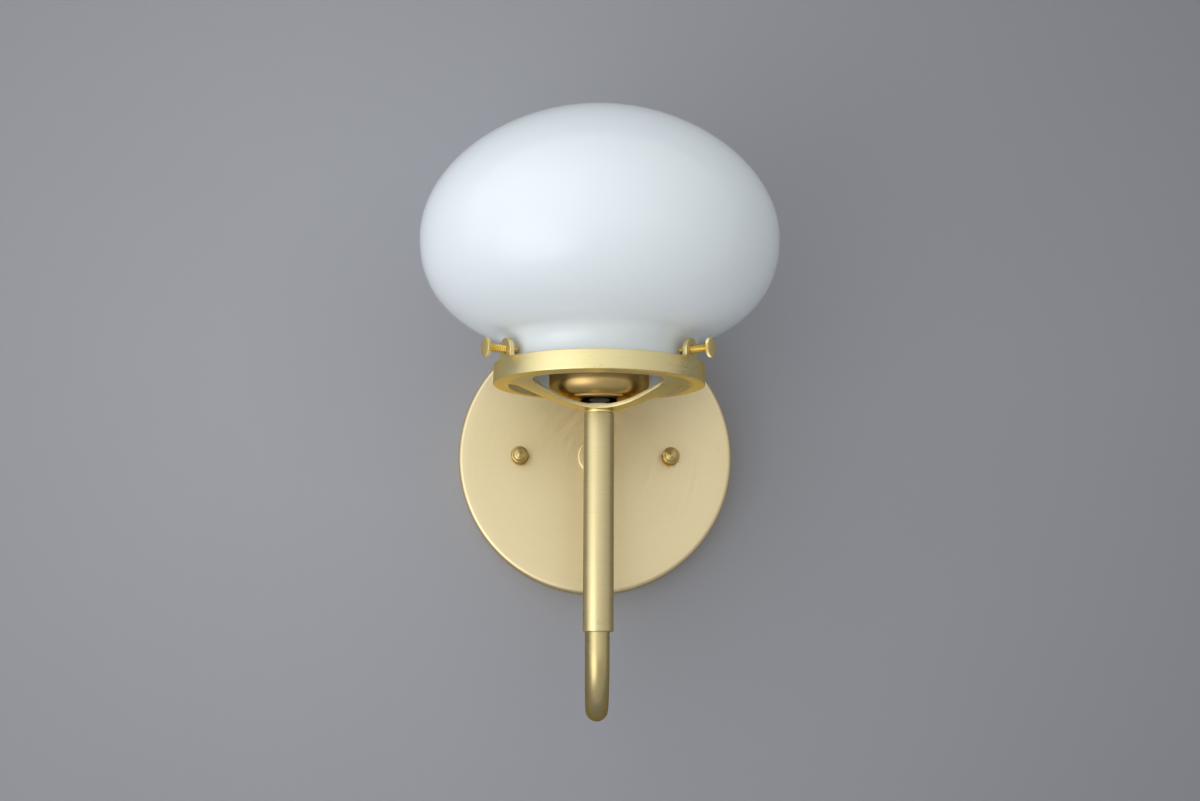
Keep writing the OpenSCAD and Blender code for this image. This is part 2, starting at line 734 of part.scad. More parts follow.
// A wire from its nut in the canopy, through the arm and the sleeve, to its terminal.
// Its tail in the canopy is drawn upwards, and turned over where it runs down.
module supply_wire(side, tail_up) {
    lift = wire_run_z - socket_bend_r;
    translate([side * wire_x, 0, 0]) {
        rotate([0, tail_up ? 0 : 180, 0]) {
            translate([0, -arm_end, wire_bend_r]) rotate([90, 0, 90]) rotate([0, 0, -90])
                rotate_extrude(angle = 90) translate([wire_bend_r, 0]) circle(r = wire_r);
            translate([0, wire_drop_y, wire_bend_r])
                cylinder(r = wire_r, h = wire_nut_z + wire_in_nut - wire_bend_r);
        }
        arm_path(wire_r, arm_end, lift);
    }
    on_upright() rotate([0, 0, side < 0 ? 180 : 0]) {
        translate([wire_x + socket_bend_r, 0, lift]) rotate([90, 0, 0]) rotate([0, 0, 90])
            rotate_extrude(angle = 90) translate([socket_bend_r, 0]) circle(r = wire_r);
        translate([wire_x + socket_bend_r, 0, wire_run_z]) rotate([0, 90, 0])
            cylinder(r = wire_r, h = terminal_wire_x - terminal_bend_r - wire_x - socket_bend_r);
        translate([terminal_wire_x - terminal_bend_r, 0, wire_run_z + terminal_bend_r])
            rotate([90, 0, 0]) rotate([0, 0, -90])
            rotate_extrude(angle = 90) translate([terminal_bend_r, 0]) circle(r = wire_r);
    }
}

module hot_wire() {
    color([0.08, 0.08, 0.08]) supply_wire(-1, true);
}

module neutral_wire() {
    color([0.92, 0.92, 0.90]) supply_wire(1, false);
}

// A wire nut: a tapered cap with a bore for the twisted ends
module wire_nut(hole_r) {
    difference() {
        cylinder(r1 = wire_nut_r, r2 = wire_nut_tip_r, h = wire_nut_h);
        translate([0, 0, -over]) cylinder(r = hole_r, h = wire_in_nut + over);
    }
}

module wire_nuts() {
    color([0.85, 0.40, 0.10]) {
        translate([-wire_x, wire_drop_y, wire_nut_z]) wire_nut(wire_r + fit_gap);
        translate([wire_x, wire_drop_y, -wire_nut_z]) rotate([180, 0, 0]) wire_nut(wire_r + fit_gap);
    }
}

module bulb_cap() {
    color([0.78, 0.79, 0.80]) on_upright() rotate_extrude() polygon([
        [0, bulb_foot], [cap_button_r, bulb_foot],
        [cap_button_r, bulb_foot + 0.7], [cap_glass_r, bulb_foot + 1.4],
        [cap_r, bulb_foot + 3.6], [cap_r, cap_top], [cap_r - cap_wall, cap_top],
        [cap_r - cap_wall, bulb_foot + 3.6 + cap_wall], [0, bulb_foot + 3.6 + cap_wall]
    ]);
}

// Globe on a cone that leaves the cap and meets the sphere tangentially
module bulb_globe() {
    drop = globe_z - globe_neck_z;
    reach = norm([globe_neck_r, drop]);
    touch = atan2(globe_neck_r, drop) + acos(globe_r / reach);
    outside = [for (i = [0 : 24]) let (a = touch + (180 - touch) * i / 24)
        [max(globe_r * sin(a), 0), globe_z - globe_r * cos(a)]];
    inside = [for (i = [0 : 24]) let (a = touch + (180 - touch) * i / 24, r = globe_r - globe_t)
        [max(r * sin(a), 0), globe_z - r * cos(a)]];
    color([0.96, 0.96, 0.93]) on_upright() rotate_extrude() polygon(concat(
        [[globe_neck_r, cap_top], [globe_neck_r, globe_neck_z]], outside,
        backwards(inside), [[globe_neck_r - globe_t, globe_neck_z], [globe_neck_r - globe_t, cap_top]]
    ));
}

canopy();
crossbar();
canopy_studs();
stud_locknuts();
canopy_nut(-1);  // canopy_nut_left
canopy_nut(1);  // canopy_nut_right
ground_screw();
ground_wire();
arm();
arm_seating_ring();
arm_lock_washer();
arm_locknut();
sleeve();
nipple();
shade_holder();
holder_locknut();
thumbscrew(lug_angles[0]);  // thumbscrew_left
thumbscrew(lug_angles[1]);  // thumbscrew_right
thumbscrew(lug_angles[2]);  // thumbscrew_back
glass_band(glass_foot - over, neck_top_z);  // glass_neck
glass_band(neck_top_z, belly_top_z);  // glass_belly
glass_band(belly_top_z, shade_top_z);  // glass_shade
glass_band(shade_top_z, crown_top_z);  // glass_crown
glass_band(crown_top_z, waist_z + crown_h + over);  // glass_top
socket_cup();
cup_nut();
socket_body();
screw_shell();
centre_contact();
terminal_screws();
hot_wire();
neutral_wire();
wire_nuts();
ground_crimp();
bulb_cap();
bulb_globe();
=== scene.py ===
# %% [markdown]
# # Uplighter wall sconce
# The lamp hangs on a wall: a round brass canopy, a tube bent into a hook, an upright
# sleeve and a three-armed holder that carries an opal glass shade. The sizes come from
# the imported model, which is loaded first and stays the fixed frame for all that follows.

# %% Load the frame
import math

import bmesh
import bpy
from mathutils import Matrix, Vector, noise
from mathutils.geometry import delaunay_2d_cdt
from mathutils.kdtree import KDTree


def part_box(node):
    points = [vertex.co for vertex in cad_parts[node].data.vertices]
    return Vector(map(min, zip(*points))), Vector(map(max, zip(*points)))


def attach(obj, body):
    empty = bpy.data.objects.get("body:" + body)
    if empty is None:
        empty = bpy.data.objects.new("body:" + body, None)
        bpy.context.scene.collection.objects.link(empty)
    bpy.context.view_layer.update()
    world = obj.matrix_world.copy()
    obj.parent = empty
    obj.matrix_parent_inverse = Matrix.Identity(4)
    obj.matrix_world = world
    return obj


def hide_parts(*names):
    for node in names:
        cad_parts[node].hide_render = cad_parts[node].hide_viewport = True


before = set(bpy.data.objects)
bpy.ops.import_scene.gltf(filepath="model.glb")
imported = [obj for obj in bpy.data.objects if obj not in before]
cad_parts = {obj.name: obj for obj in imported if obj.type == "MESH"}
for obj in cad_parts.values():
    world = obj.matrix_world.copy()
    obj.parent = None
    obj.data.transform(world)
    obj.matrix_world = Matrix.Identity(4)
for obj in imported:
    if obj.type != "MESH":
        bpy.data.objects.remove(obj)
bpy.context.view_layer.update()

# %% [markdown]
# ## Units and places
# Shapes are written in millimetres, because that is how such a lamp is measured, and
# become metres only when a piece is finished. The wall is the plane y = 0, and the
# upright stands 101.6 mm in front of it. Most pieces are turned about their own axis,
# so each is first made about the z axis and then put in its place by a matrix.

# %% Places
MM = 0.001
PROJECTION = 101.6
HOLDER_TURN = -2
UPRIGHT = Matrix.Translation((0, -PROJECTION, 0))


def up(height, place=UPRIGHT):
    """A place further along the z axis of another place."""
    return place @ Matrix.Translation((0, 0, height))


def from_wall(x=0, y=0):
    """The place of a shape drawn along +z that points from the wall into the room."""
    return Matrix.Translation((x, y, 0)) @ Matrix.Rotation(math.radians(90), 4, "X")


def radial(angle, height):
    """The place of a shape drawn along +z that points outwards through a lug."""
    turn = Matrix.Rotation(math.radians(angle + HOLDER_TURN - 90), 4, "Z")
    lying = Matrix.Rotation(math.radians(90), 4, "Y")
    return up(height, UPRIGHT @ turn) @ lying


def span(node, axis):
    """Lowest and highest point of a node of the frame along one axis."""
    return [getattr(corner, axis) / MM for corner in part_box(node)]


# %% [markdown]
# ## A short way to write node trees
# Shader trees and geometry trees are both built from nodes that are joined by links.
# One helper adds a node, sets its options and either links or sets each input. Its output
# is wrapped as a field, and arithmetic on a field adds Math nodes, so that a rule in a
# tree reads like a formula.

# %% Fields
class Field:
    """A value in a node tree. Arithmetic on it adds Math nodes."""

    def __init__(self, socket):
        self.socket, self.tree = socket, socket.id_data

    def __add__(self, other):
        return calc("ADD", self, other)

    def __sub__(self, other):
        return calc("SUBTRACT", self, other)

    def __rsub__(self, other):
        return calc("SUBTRACT", other, self)

    def __mul__(self, other):
        return calc("MULTIPLY", self, other)

    def __truediv__(self, other):
        return calc("DIVIDE", self, other)


# %% Node helper
def wire(value, socket):
    """Links a field to an input, or sets the input to a plain value."""
    if isinstance(value, Field):
        value.tree.links.new(value.socket, socket)
    else:
        socket.default_value = value


def put(tree, kind, options=None, *values, out=0, **named):
    """Adds a node with its options and inputs, and gives back one of its outputs."""
    made = tree.nodes.new(kind)
    for key, value in (options or {}).items():
        setattr(made, key, value)
    for key, value in [*enumerate(values), *named.items()]:
        wire(value, made.inputs[key])
    return Field(made.outputs[out])


# %% Common nodes
def calc(operation, *values):
    """A Math node."""
    tree = next(value.tree for value in values if isinstance(value, Field))
    return put(tree, "ShaderNodeMath", {"operation": operation}, *values)


def on_vector(operation, first, *others, out="Vector", **named):
    """A Vector Math node."""
    kind = {"operation": operation}
    return put(first.tree, "ShaderNodeVectorMath", kind, first, *others, out=out, **named)


def vector(x, y, z):
    """A vector from three values."""
    return put(x.tree, "ShaderNodeCombineXYZ", None, x, y, z)


def split(where):
    """The three coordinates of a vector."""
    node = put(where.tree, "ShaderNodeSeparateXYZ", None, where).socket.node
    return [Field(output) for output in node.outputs]


def ranged(value, *limits):
    """The share of the way between two limits, or between two other values."""
    return put(value.tree, "ShaderNodeMapRange", None, value, *limits)


# %% [markdown]
# ## Metal
# Every metal here is a base colour with fine tool marks in it: turned and brushed
# pieces have thin lines that run round their axis. The lines are noise that is stretched
# along the cut. A point is described by its radius and height, which change fast across
# the lines, and by its direction, which changes slowly along them, and a four-dimensional
# noise reads the two together, so there is no seam at the back.

# %% Brush coordinates
def around(centre, axis, line, streak, radius):
    """Noise coordinates of lines that run round an axis through centre."""
    def lines(here):
        x, y, z = split(on_vector("SUBTRACT", here, centre))
        if axis == "Y":
            y, z = z, y
        r = calc("SQRT", x * x + y * y)
        safe = calc("MAXIMUM", r, 1e-5)
        slow, fast = radius / streak, 1 / line
        return vector(r * fast, z * fast, x / safe * slow), y / safe * slow
    return lines


def plain(line, streak):
    """Noise coordinates of straight lines along x."""
    return lambda here: (on_vector("MULTIPLY", here, (1 / streak, 1 / line, 1 / line)), 0.0)


def tube_lines(here):
    """Noise coordinates of fine rings round the arm, which follow its bends."""
    along = put(here.tree, "ShaderNodeAttribute", {"attribute_name": "along"}, out="Fac")
    x, y, _ = split(here)
    return vector(x * 160.0, along * 2.6, y), 0.0


# %% Material helpers
finish = {}


def new_finish(name):
    """A new material: the inputs of its shader, and its Object coordinates."""
    material = finish[name] = bpy.data.materials.new(name)
    material.use_nodes = True
    tree = material.node_tree
    here = put(tree, "ShaderNodeTexCoord", out="Object")
    return tree.nodes["Principled BSDF"].inputs, here


def cloudy(here, scale, detail, **more):
    """A noise in space. scale is in lumps per metre."""
    return put(here.tree, "ShaderNodeTexNoise", None, here, Scale=scale, Detail=detail, **more)


# A Mix node has inputs and outputs of the same names for numbers, vectors and colours, so
# those for colours are found by their index.
COLOURS_IN, COLOUR_OUT = (6, 7), 2


def mix(share, low, high):
    """The colour low where share is 0, high where it is 1."""
    made = put(share.tree, "ShaderNodeMix", {"data_type": "RGBA"}, share, out=COLOUR_OUT)
    for index, colour in zip(COLOURS_IN, (low, high)):
        colour = colour if isinstance(colour, Field) else (*colour, 1)
        wire(colour, made.socket.node.inputs[index])
    return made


def surface(shader, tint, gloss, height, strength, depth):
    """Gives a shader its colour, its roughness and a bump that is depth millimetres deep."""
    wire(tint, shader["Base Color"])
    wire(gloss, shader["Roughness"])
    bump = put(height.tree, "ShaderNodeBump", None, strength, depth * MM, Height=height)
    wire(bump, shader["Normal"])


# %% Metal finish
def metal(name, colour, dark, rough, lines, marks, sheen, depth, stains=0.0):
    """A metal with tool marks. lines gives the noise coordinates of the marks."""
    shader, here = new_finish(name)
    where, w = lines(here)
    mark = put(here.tree, "ShaderNodeTexNoise", {"noise_dimensions": "4D"}, where, W=w,
               Scale=1.0, Detail=3.0, Roughness=0.6)
    blend = mark * (marks * 4) + cloudy(here, 28.0, 4.0, Roughness=0.55) * 0.5
    tint = mix(ranged(blend, 0.15, 0.75 + marks), dark, colour)
    if stains:
        spot = cloudy(here, 420.0, 2.0) * cloudy(here, 45.0, 3.0)
        stain = [c * 0.35 for c in dark]
        tint = mix(ranged(spot, 0.40, 0.50, 0.0, stains), tint, stain)
    gloss = ranged(mark, 0.3, 0.7, rough - sheen / 2, rough + sheen / 2)
    surface(shader, tint, gloss, mark, 1.0, depth)
    wire(1.0, shader["Metallic"])
    wire((*dark, 1), shader["Specular Tint"])


# %% [markdown]
# ## Plastic and glass
# These don't reflect like metal. A moulded plastic has a faint orange-peel skin, and
# opal glass is white all through, with a smooth and slightly wavy face.

# %% Moulded plastic
def plastic(name, colour, rough, grain):
    """A moulded or extruded plastic with a fine skin."""
    shader, here = new_finish(name)
    skin = cloudy(here, grain, 4.0)
    shades = [[min(1, c * factor) for c in colour] for factor in (0.8, 1.15)]
    gloss = ranged(skin, 0.3, 0.7, rough - 0.06, rough + 0.06)
    surface(shader, mix(cloudy(here, 60.0, 3.0), *shades), gloss, skin, 0.6, 0.01)


# %% Opal glass
def opal(name, colour, pale, rough):
    """White glass, cloudy inside and smooth outside."""
    shader, here = new_finish(name)
    tint = mix(cloudy(here, 14.0, 3.0, Distortion=0.6), colour, pale)
    surface(shader, tint, rough, cloudy(here, 22.0, 1.0), 0.5, 0.25)
    wire(1.5, shader["IOR"])
    wire(0.15, shader["Subsurface Weight"])
    wire((1.0, 1.1, 1.15), shader["Subsurface Radius"])
    wire(0.003, shader["Subsurface Scale"])


# %% [markdown]
# ## The finishes of this lamp
# The canopy, arm and sleeve are pale satin brass, the holder is yellower and turned, the
# thumbscrews are bright, and the cup is a browner gold. What sits behind the canopy is
# zinc-plated steel. Colours are linear, as the shader wants them. A row gives the light
# and the dark colour, the roughness, the run of the tool marks, how much they tint, how
# far they change the gloss, their depth in millimetres, and the strength of stains.

# %% Metals
CANOPY_AXIS = ((0, 0, 0), "Y")
UPRIGHT_AXIS = ((0, -PROJECTION * MM, 0), "Z")
for row in (
    ("satin_brass", (0.85, 0.71, 0.45), (0.76, 0.61, 0.34), 0.40,
     around(*CANOPY_AXIS, 0.0007, 0.030, 0.05), 0.20, 0.14, 0.010, 0.15),
    ("tube_brass", (0.68, 0.565, 0.30), (0.54, 0.42, 0.18), 0.34,
     tube_lines, 0.20, 0.16, 0.006, 0.1),
    ("sleeve_brass", (0.77, 0.65, 0.37), (0.65, 0.52, 0.25), 0.34,
     around(*UPRIGHT_AXIS, 0.0004, 0.010, 0.006), 0.20, 0.16, 0.006, 0.1),
    ("yellow_brass", (0.92, 0.795, 0.45), (0.81, 0.66, 0.28), 0.36,
     around(*UPRIGHT_AXIS, 0.0006, 0.018, 0.04), 0.22, 0.18, 0.010, 0.25),
    ("raw_edge", (0.95, 0.86, 0.56), (0.74, 0.60, 0.28), 0.45,
     plain(0.0005, 0.0006), 0.15, 0.2, 0.06),
    ("polished_brass", (0.95, 0.76, 0.30), (0.88, 0.66, 0.20), 0.24,
     plain(0.0003, 0.0006), 0.05, 0.10, 0.003, 0.15),
    ("knurled_brass", (0.94, 0.80, 0.44), (0.84, 0.68, 0.30), 0.42,
     plain(0.0003, 0.0006), 0.10, 0.10, 0.006),
    ("aged_brass", (0.67, 0.52, 0.24), (0.54, 0.40, 0.15), 0.32,
     plain(0.0004, 0.0008), 0.06, 0.10, 0.004),
    ("cup_brass", (0.69, 0.50, 0.21), (0.55, 0.37, 0.14), 0.36,
     around(*UPRIGHT_AXIS, 0.0004, 0.010, 0.02), 0.06, 0.10, 0.004, 0.2),
    ("shell_brass", (0.80, 0.60, 0.30), (0.68, 0.48, 0.22), 0.25,
     around(*UPRIGHT_AXIS, 0.0004, 0.008, 0.013), 0.04, 0.08, 0.003),
    ("zinc_steel", (0.60, 0.61, 0.60), (0.46, 0.47, 0.47), 0.34,
     plain(0.0005, 0.004), 0.06, 0.12, 0.006),
    ("dark_steel", (0.075, 0.074, 0.074), (0.030, 0.030, 0.030), 0.22,
     plain(0.0005, 0.002), 0.05, 0.10, 0.005),
    ("green_screw", (0.05, 0.24, 0.10), (0.03, 0.15, 0.06), 0.35,
     plain(0.0004, 0.0008), 0.06, 0.10, 0.005),
    ("copper", (0.72, 0.34, 0.20), (0.55, 0.24, 0.13), 0.28,
     plain(0.0004, 0.0020), 0.06, 0.10, 0.004),
    ("bulb_metal", (0.62, 0.63, 0.64), (0.48, 0.49, 0.50), 0.28,
     around(*UPRIGHT_AXIS, 0.0004, 0.008, 0.013), 0.05, 0.10, 0.004),
):
    metal(*row)

# %% Glass and plastics
opal("opal_glass", (0.83, 0.885, 0.94), (0.855, 0.905, 0.955), 0.07)
opal("frosted_glass", (0.82, 0.82, 0.79), (0.88, 0.88, 0.85), 0.35)
plastic("phenolic", (0.018, 0.016, 0.015), 0.38, 900.0)
plastic("black_insulation", (0.02, 0.02, 0.021), 0.45, 500.0)
plastic("white_insulation", (0.72, 0.71, 0.68), 0.42, 500.0)
plastic("orange_plastic", (0.78, 0.20, 0.02), 0.30, 900.0)
print("finishes:", ", ".join(sorted(finish)))

# %% [markdown]
# ## Turned pieces
# A lathe leaves a body of revolution. Its half section is a closed outline of radius and
# height, and each corner may carry the radius of a small rounding, as a file or a tool
# leaves it. The outline is turned round the z axis in equal steps.

# %% Arcs
def polar(radius, degrees):
    angle = math.radians(degrees)
    return radius * math.cos(angle), radius * math.sin(angle)


def spokes(count):
    """Cosine and sine of equal steps round a full turn."""
    angles = [math.tau * k / count for k in range(count)]
    return [(math.cos(angle), math.sin(angle)) for angle in angles]


def bow(cx, cy, radius, start, end, steps):
    """Points along an arc, with its angles in degrees."""
    spots = [polar(radius, start + (end - start) * k / steps) for k in range(steps + 1)]
    return [(cx + x, cy + y) for x, y in spots]


# %% Rounded outlines
ROUNDING_STEPS = 4


def eased(corners):
    """A closed outline of (x, y, rounding): each corner with a rounding becomes an arc."""
    made = []
    for i, (x, y, *rounding) in enumerate(corners):
        here = Vector((x, y))
        if not rounding:
            made.append((x, y))
            continue
        before = Vector(corners[i - 1][:2])
        after = Vector(corners[(i + 1) % len(corners)][:2])
        a, b = (before - here).normalized(), (after - here).normalized()
        half = a.angle(b) / 2
        reach = rounding[0] / math.tan(half)
        middle = here + (a + b).normalized() * (rounding[0] / math.sin(half))
        start, end = here + a * reach - middle, here + b * reach - middle
        turn = math.atan2(start.x * end.y - start.y * end.x, start.dot(end))
        for k in range(ROUNDING_STEPS + 1):
            c, s = math.cos(turn * k / ROUNDING_STEPS), math.sin(turn * k / ROUNDING_STEPS)
            made.append((middle.x + start.x * c - start.y * s,
                         middle.y + start.x * s + start.y * c))
    return made


# %% Lathe
def strip(shape, low, high, material=0):
    """Faces between two closed rows of vertices. At a pole they are triangles."""
    for k in range(len(low)):
        n = (k + 1) % len(low)
        corners = list(dict.fromkeys([low[k], low[n], high[n], high[k]]))
        if len(corners) > 2:
            shape.faces.new(corners).material_index = material


def turned(outline, sides=96, open_ends=False):
    """The mesh of an outline turned round the z axis. A point on the axis is a pole."""
    shape = bmesh.new()
    rows = []
    for r, z in outline:
        if r < 1e-6:
            rows.append([shape.verts.new((0, 0, z))] * sides)
        else:
            rows.append([shape.verts.new((r * c, r * s, z)) for c, s in spokes(sides)])
    for low, high in zip(rows, rows[1:]):
        strip(shape, low, high)
    if not open_ends:
        strip(shape, rows[-1], rows[0])
    return shape


# %% [markdown]
# ## Finishing a piece
# All parts of a piece are put in place, joined, given smooth faces with sharp edges where
# the surface really turns, and scaled to metres. Its object stays at the origin. It then
# rides on its body and stands for the plain nodes of the frame.

# %% Join shapes
MERGE_DISTANCE = 1e-4


def join(whole, shape, place=Matrix()):
    """Adds a shape to another one, at its place, and frees it."""
    mesh = bpy.data.meshes.new("part")
    shape.to_mesh(mesh)
    shape.free()
    mesh.transform(place)
    whole.from_mesh(mesh)
    bpy.data.meshes.remove(mesh)


# %% Finish a piece
def piece(name, nodes, *parts, body="wall_part", slot=None, sharp=32):
    """Stands for the nodes. parts are (shape, place, finish), or a tuple of finishes."""
    whole = bmesh.new()
    names = []
    for shape, place, used in parts:
        used = (used,) if isinstance(used, str) else used
        names += [n for n in used if n not in names]
        bmesh.ops.remove_doubles(shape, verts=shape.verts, dist=MERGE_DISTANCE)
        bmesh.ops.recalc_face_normals(shape, faces=shape.faces)
        first = len(whole.faces)
        join(whole, shape, place)
        whole.faces.ensure_lookup_table()
        for face in whole.faces[first:]:
            face.material_index = names.index(used[face.material_index])
    mesh = bpy.data.meshes.new(name)
    whole.to_mesh(mesh)
    open_edges = sum(1 for edge in whole.edges if len(edge.link_faces) != 2)
    whole.free()
    mesh.transform(Matrix.Scale(MM, 4))
    for used in names:
        mesh.materials.append(finish[used])
    mesh.shade_smooth()
    mesh.set_sharp_from_angle(angle=math.radians(sharp))
    made = bpy.data.objects.new(name, mesh)
    bpy.context.scene.collection.objects.link(made)
    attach(made, body)
    slot or names[0]
    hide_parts(*nodes.split())
    print(f"{name}: {len(mesh.polygons)} faces, {open_edges} open edges")


# %% [markdown]
# ## Threads, knurls and nuts as rules
# A screw thread is a rule and not a drawing: the surface goes in and out as a saw tooth of
# the height less the angle. So one grid is bent into a rod by a node tree, and its inputs
# are the sizes by which threads are bought: radius, depth, pitch and length. Knurled heads
# and hexagon nuts are the same grid with other rules.

# %% Start and end of a tree
def new_tree(name, sizes, takes_geometry=False):
    """A geometry tree with a named input for each size, and one for the finish."""
    tree = bpy.data.node_groups.new(name, "GeometryNodeTree")
    side = tree.interface
    if takes_geometry:
        side.new_socket("Geometry", in_out="INPUT", socket_type="NodeSocketGeometry")
    for label, value in sizes.items():
        kind = "NodeSocketInt" if isinstance(value, int) else "NodeSocketFloat"
        side.new_socket(label, in_out="INPUT", socket_type=kind).default_value = value
    side.new_socket("Finish", in_out="INPUT", socket_type="NodeSocketMaterial")
    side.new_socket("Geometry", in_out="OUTPUT", socket_type="NodeSocketGeometry")
    inputs = tree.nodes.new("NodeGroupInput").outputs
    return tree, {socket.name: Field(socket) for socket in inputs}


def end_tree(geometry, material):
    """Closes a tree: instances are made real, and the finish is set."""
    tree = geometry.tree
    real = put(tree, "GeometryNodeRealizeInstances", None, geometry)
    done = put(tree, "GeometryNodeSetMaterial", None, real, Material=material)
    wire(done, tree.nodes.new("NodeGroupOutput").inputs["Geometry"])
    print(f"tree {tree.name}: {len(tree.nodes)} nodes")
    return tree


# %% Rolled grid
def rolled_grid(tree, sides, rows):
    """A grid with the turn (0 to 1) and the row number of each of its points."""
    grid = put(tree, "GeometryNodeMeshGrid", None, 1.0, 1.0, sides + 1, rows)
    x, y, _ = split(put(tree, "GeometryNodeInputPosition"))
    return grid, x + 0.5, calc("ROUND", (y + 0.5) * (rows - 1))


def bend_grid(grid, turn, r, z):
    """Moves each point to radius r and height z at its turn, and closes the seam."""
    angle = turn * math.tau
    place = vector(r * calc("COSINE", angle), r * calc("SINE", angle), z)
    moved = put(grid.tree, "GeometryNodeSetPosition", None, grid, Position=place)
    return put(grid.tree, "GeometryNodeMergeByDistance", None, moved, Distance=MERGE_DISTANCE)


def either(test, yes, no):
    """yes where test is 1, and no where it is 0."""
    return test * yes + (1.0 - test) * no


def is_row(row, number):
    """1 on one row of the grid."""
    return calc("COMPARE", row, number, 0.1)


# %% Thread tree
def thread_tree():
    tree, size = new_tree("Thread", {
        "Radius": 2.08, "Depth": 0.4, "Pitch": 0.8, "Length": 20.0, "Bore": 0.0,
        "Chamfer": 0.4, "Rolled": 0.0, "Sides": 32, "Rows": 160})
    rows, length, radius = size["Rows"], size["Length"], size["Radius"]
    grid, turn, row = rolled_grid(tree, size["Sides"], rows)
    last = rows - 1.0
    share = put(tree, "ShaderNodeClamp", None, (row - 1.0) / (rows - 4.0))
    side_z = share * length
    phase = calc("FRACT", side_z / size["Pitch"] - turn)
    cut = ranged(calc("ABSOLUTE", phase * 2.0 - 1.0), 0.12, 0.88)
    wave = calc("COSINE", phase * math.tau) * 0.5 + 0.5
    inward = (1.0 - either(size["Rolled"], wave, cut)) * size["Depth"]
    end = calc("MINIMUM", side_z, length - side_z)
    r = calc("MINIMUM", radius - inward, radius - size["Chamfer"] + end)
    in_bore = calc("MAXIMUM", calc("LESS_THAN", row, 0.5),
                   calc("GREATER_THAN", row, last - 1.5))
    r = either(in_bore, size["Bore"], r)
    z = either(calc("GREATER_THAN", row, last - 0.5), 0.0, side_z)
    return end_tree(bend_grid(grid, turn, r, z), size["Finish"])


THREAD = thread_tree()

# %% [markdown]
# A thumbscrew's head is a disc with straight ridges round its rim. The rows of the grid
# follow the section of the disc, and the rim's rows go in and out with the turn.

# %% Knurl tree
def knurl_tree():
    tree, size = new_tree("Knurl", {
        "Radius": 4.1, "Depth": 0.25, "Ridges": 36, "Thickness": 1.6, "Bevel": 0.3,
        "Taper": 0.0})
    grid, turn, row = rolled_grid(tree, size["Ridges"] * 6.0, 8)
    step = calc("FRACT", turn * size["Ridges"])
    soft = ranged(calc("ABSOLUTE", step * 2.0 - 1.0), 0.15, 0.85)
    outer = size["Radius"] - soft * size["Depth"]
    rim = size["Radius"] - size["Depth"]
    top = calc("GREATER_THAN", row, 3.5)
    mirror = either(top, 7.0 - row, row)
    at_face, at_rim, at_side = (is_row(mirror, number) for number in (1.0, 2.0, 3.0))
    r = at_face * (rim - size["Bevel"]) + (at_rim * rim + at_side * outer)
    r = r * (1.0 - top * size["Taper"])
    low = size["Bevel"] * (at_rim * 0.4 + at_side)
    z = either(top, size["Thickness"] - low, low)
    return end_tree(bend_grid(grid, turn, r, z), size["Finish"])


KNURL = knurl_tree()

# %% [markdown]
# A nut is a hexagon whose corners were turned down by a cone. The distance to the flats is
# a rule of the angle, and the cone then says how high the corner still reaches.

# %% Nut tree
LIP = 0.25


def nut_tree():
    tree, size = new_tree("Hexagon nut", {"Across flats": 8.7, "Height": 3.0, "Hole": 2.1})
    grid, turn, count = rolled_grid(tree, 96, 11)
    row = calc("MODULO", count, 10.0)
    sixth = (calc("FRACT", turn * 6.0) - 0.5) * (math.tau / 6)
    half = size["Across flats"] * 0.5
    flat = half / calc("COSINE", sixth)
    cone = half * 0.97
    drop = (flat - cone) * math.tan(math.radians(30))
    top = calc("GREATER_THAN", row, 4.5)
    mirror = either(top, 9.0 - row, row)
    at_hole = calc("LESS_THAN", mirror, 0.5)
    at_lip, at_cone, middle = (is_row(mirror, number) for number in (1.0, 2.0, 4.0))
    corner = calc("GREATER_THAN", mirror, 2.5)
    r = (at_hole * size["Hole"]
         + (at_lip * (size["Hole"] + LIP) + (at_cone * cone + corner * flat)))
    low = at_hole * LIP + (corner - middle) * drop + middle * (size["Height"] * 0.4)
    z = either(top, size["Height"] - low, low)
    return end_tree(bend_grid(grid, turn, r, z), size["Finish"])


NUT = nut_tree()


# %% Evaluate
def evaluated(data, add_modifiers):
    """The plain mesh that modifiers make of this data. Its host object is removed."""
    host = bpy.data.objects.new("host", data)
    bpy.context.scene.collection.objects.link(host)
    add_modifiers(host.modifiers)
    graph = bpy.context.evaluated_depsgraph_get()
    mesh = bpy.data.meshes.new_from_object(host.evaluated_get(graph))
    bpy.data.objects.remove(host)
    shape = bmesh.new()
    shape.from_mesh(mesh)
    bpy.data.meshes.remove(mesh)
    return shape


# %% Run a tree
def grown(tree, material, source=None, **sizes):
    """What a tree makes with these sizes."""
    def add(modifiers):
        form = modifiers.new("Form", "NODES")
        form.node_group = tree
        wanted = {**sizes, "Finish": finish[material]}
        for socket in tree.interface.items_tree:
            if socket.in_out == "INPUT" and socket.name in wanted:
                form[socket.identifier] = wanted[socket.name]

    shape = evaluated(source or bpy.data.meshes.new("host"), add)
    bare = [edge for edge in shape.edges if not edge.link_faces]
    bmesh.ops.delete(shape, geom=bare, context="EDGES")
    for face in shape.faces:
        face.material_index = 0
    return shape


def hexagon(material, flats, height, hole):
    """One hexagon nut, or a solid hexagon where the hole is 0."""
    return grown(NUT, material, **{"Across flats": flats, "Height": height, "Hole": hole})


# %% Run modifiers
def worked(shape, *steps):
    """The same shape after some modifiers, each given as its kind and its settings."""
    def add(modifiers):
        for kind, settings in steps:
            step = modifiers.new(kind.title(), kind)
            for key, value in settings.items():
                setattr(step, key, value)

    mesh = bpy.data.meshes.new("host")
    shape.to_mesh(mesh)
    shape.free()
    return evaluated(mesh, add)


def wall(thickness):
    """The modifier that gives an open surface a wall inwards."""
    return "SOLIDIFY", {"thickness": thickness, "offset": -1.0, "use_even_offset": True}


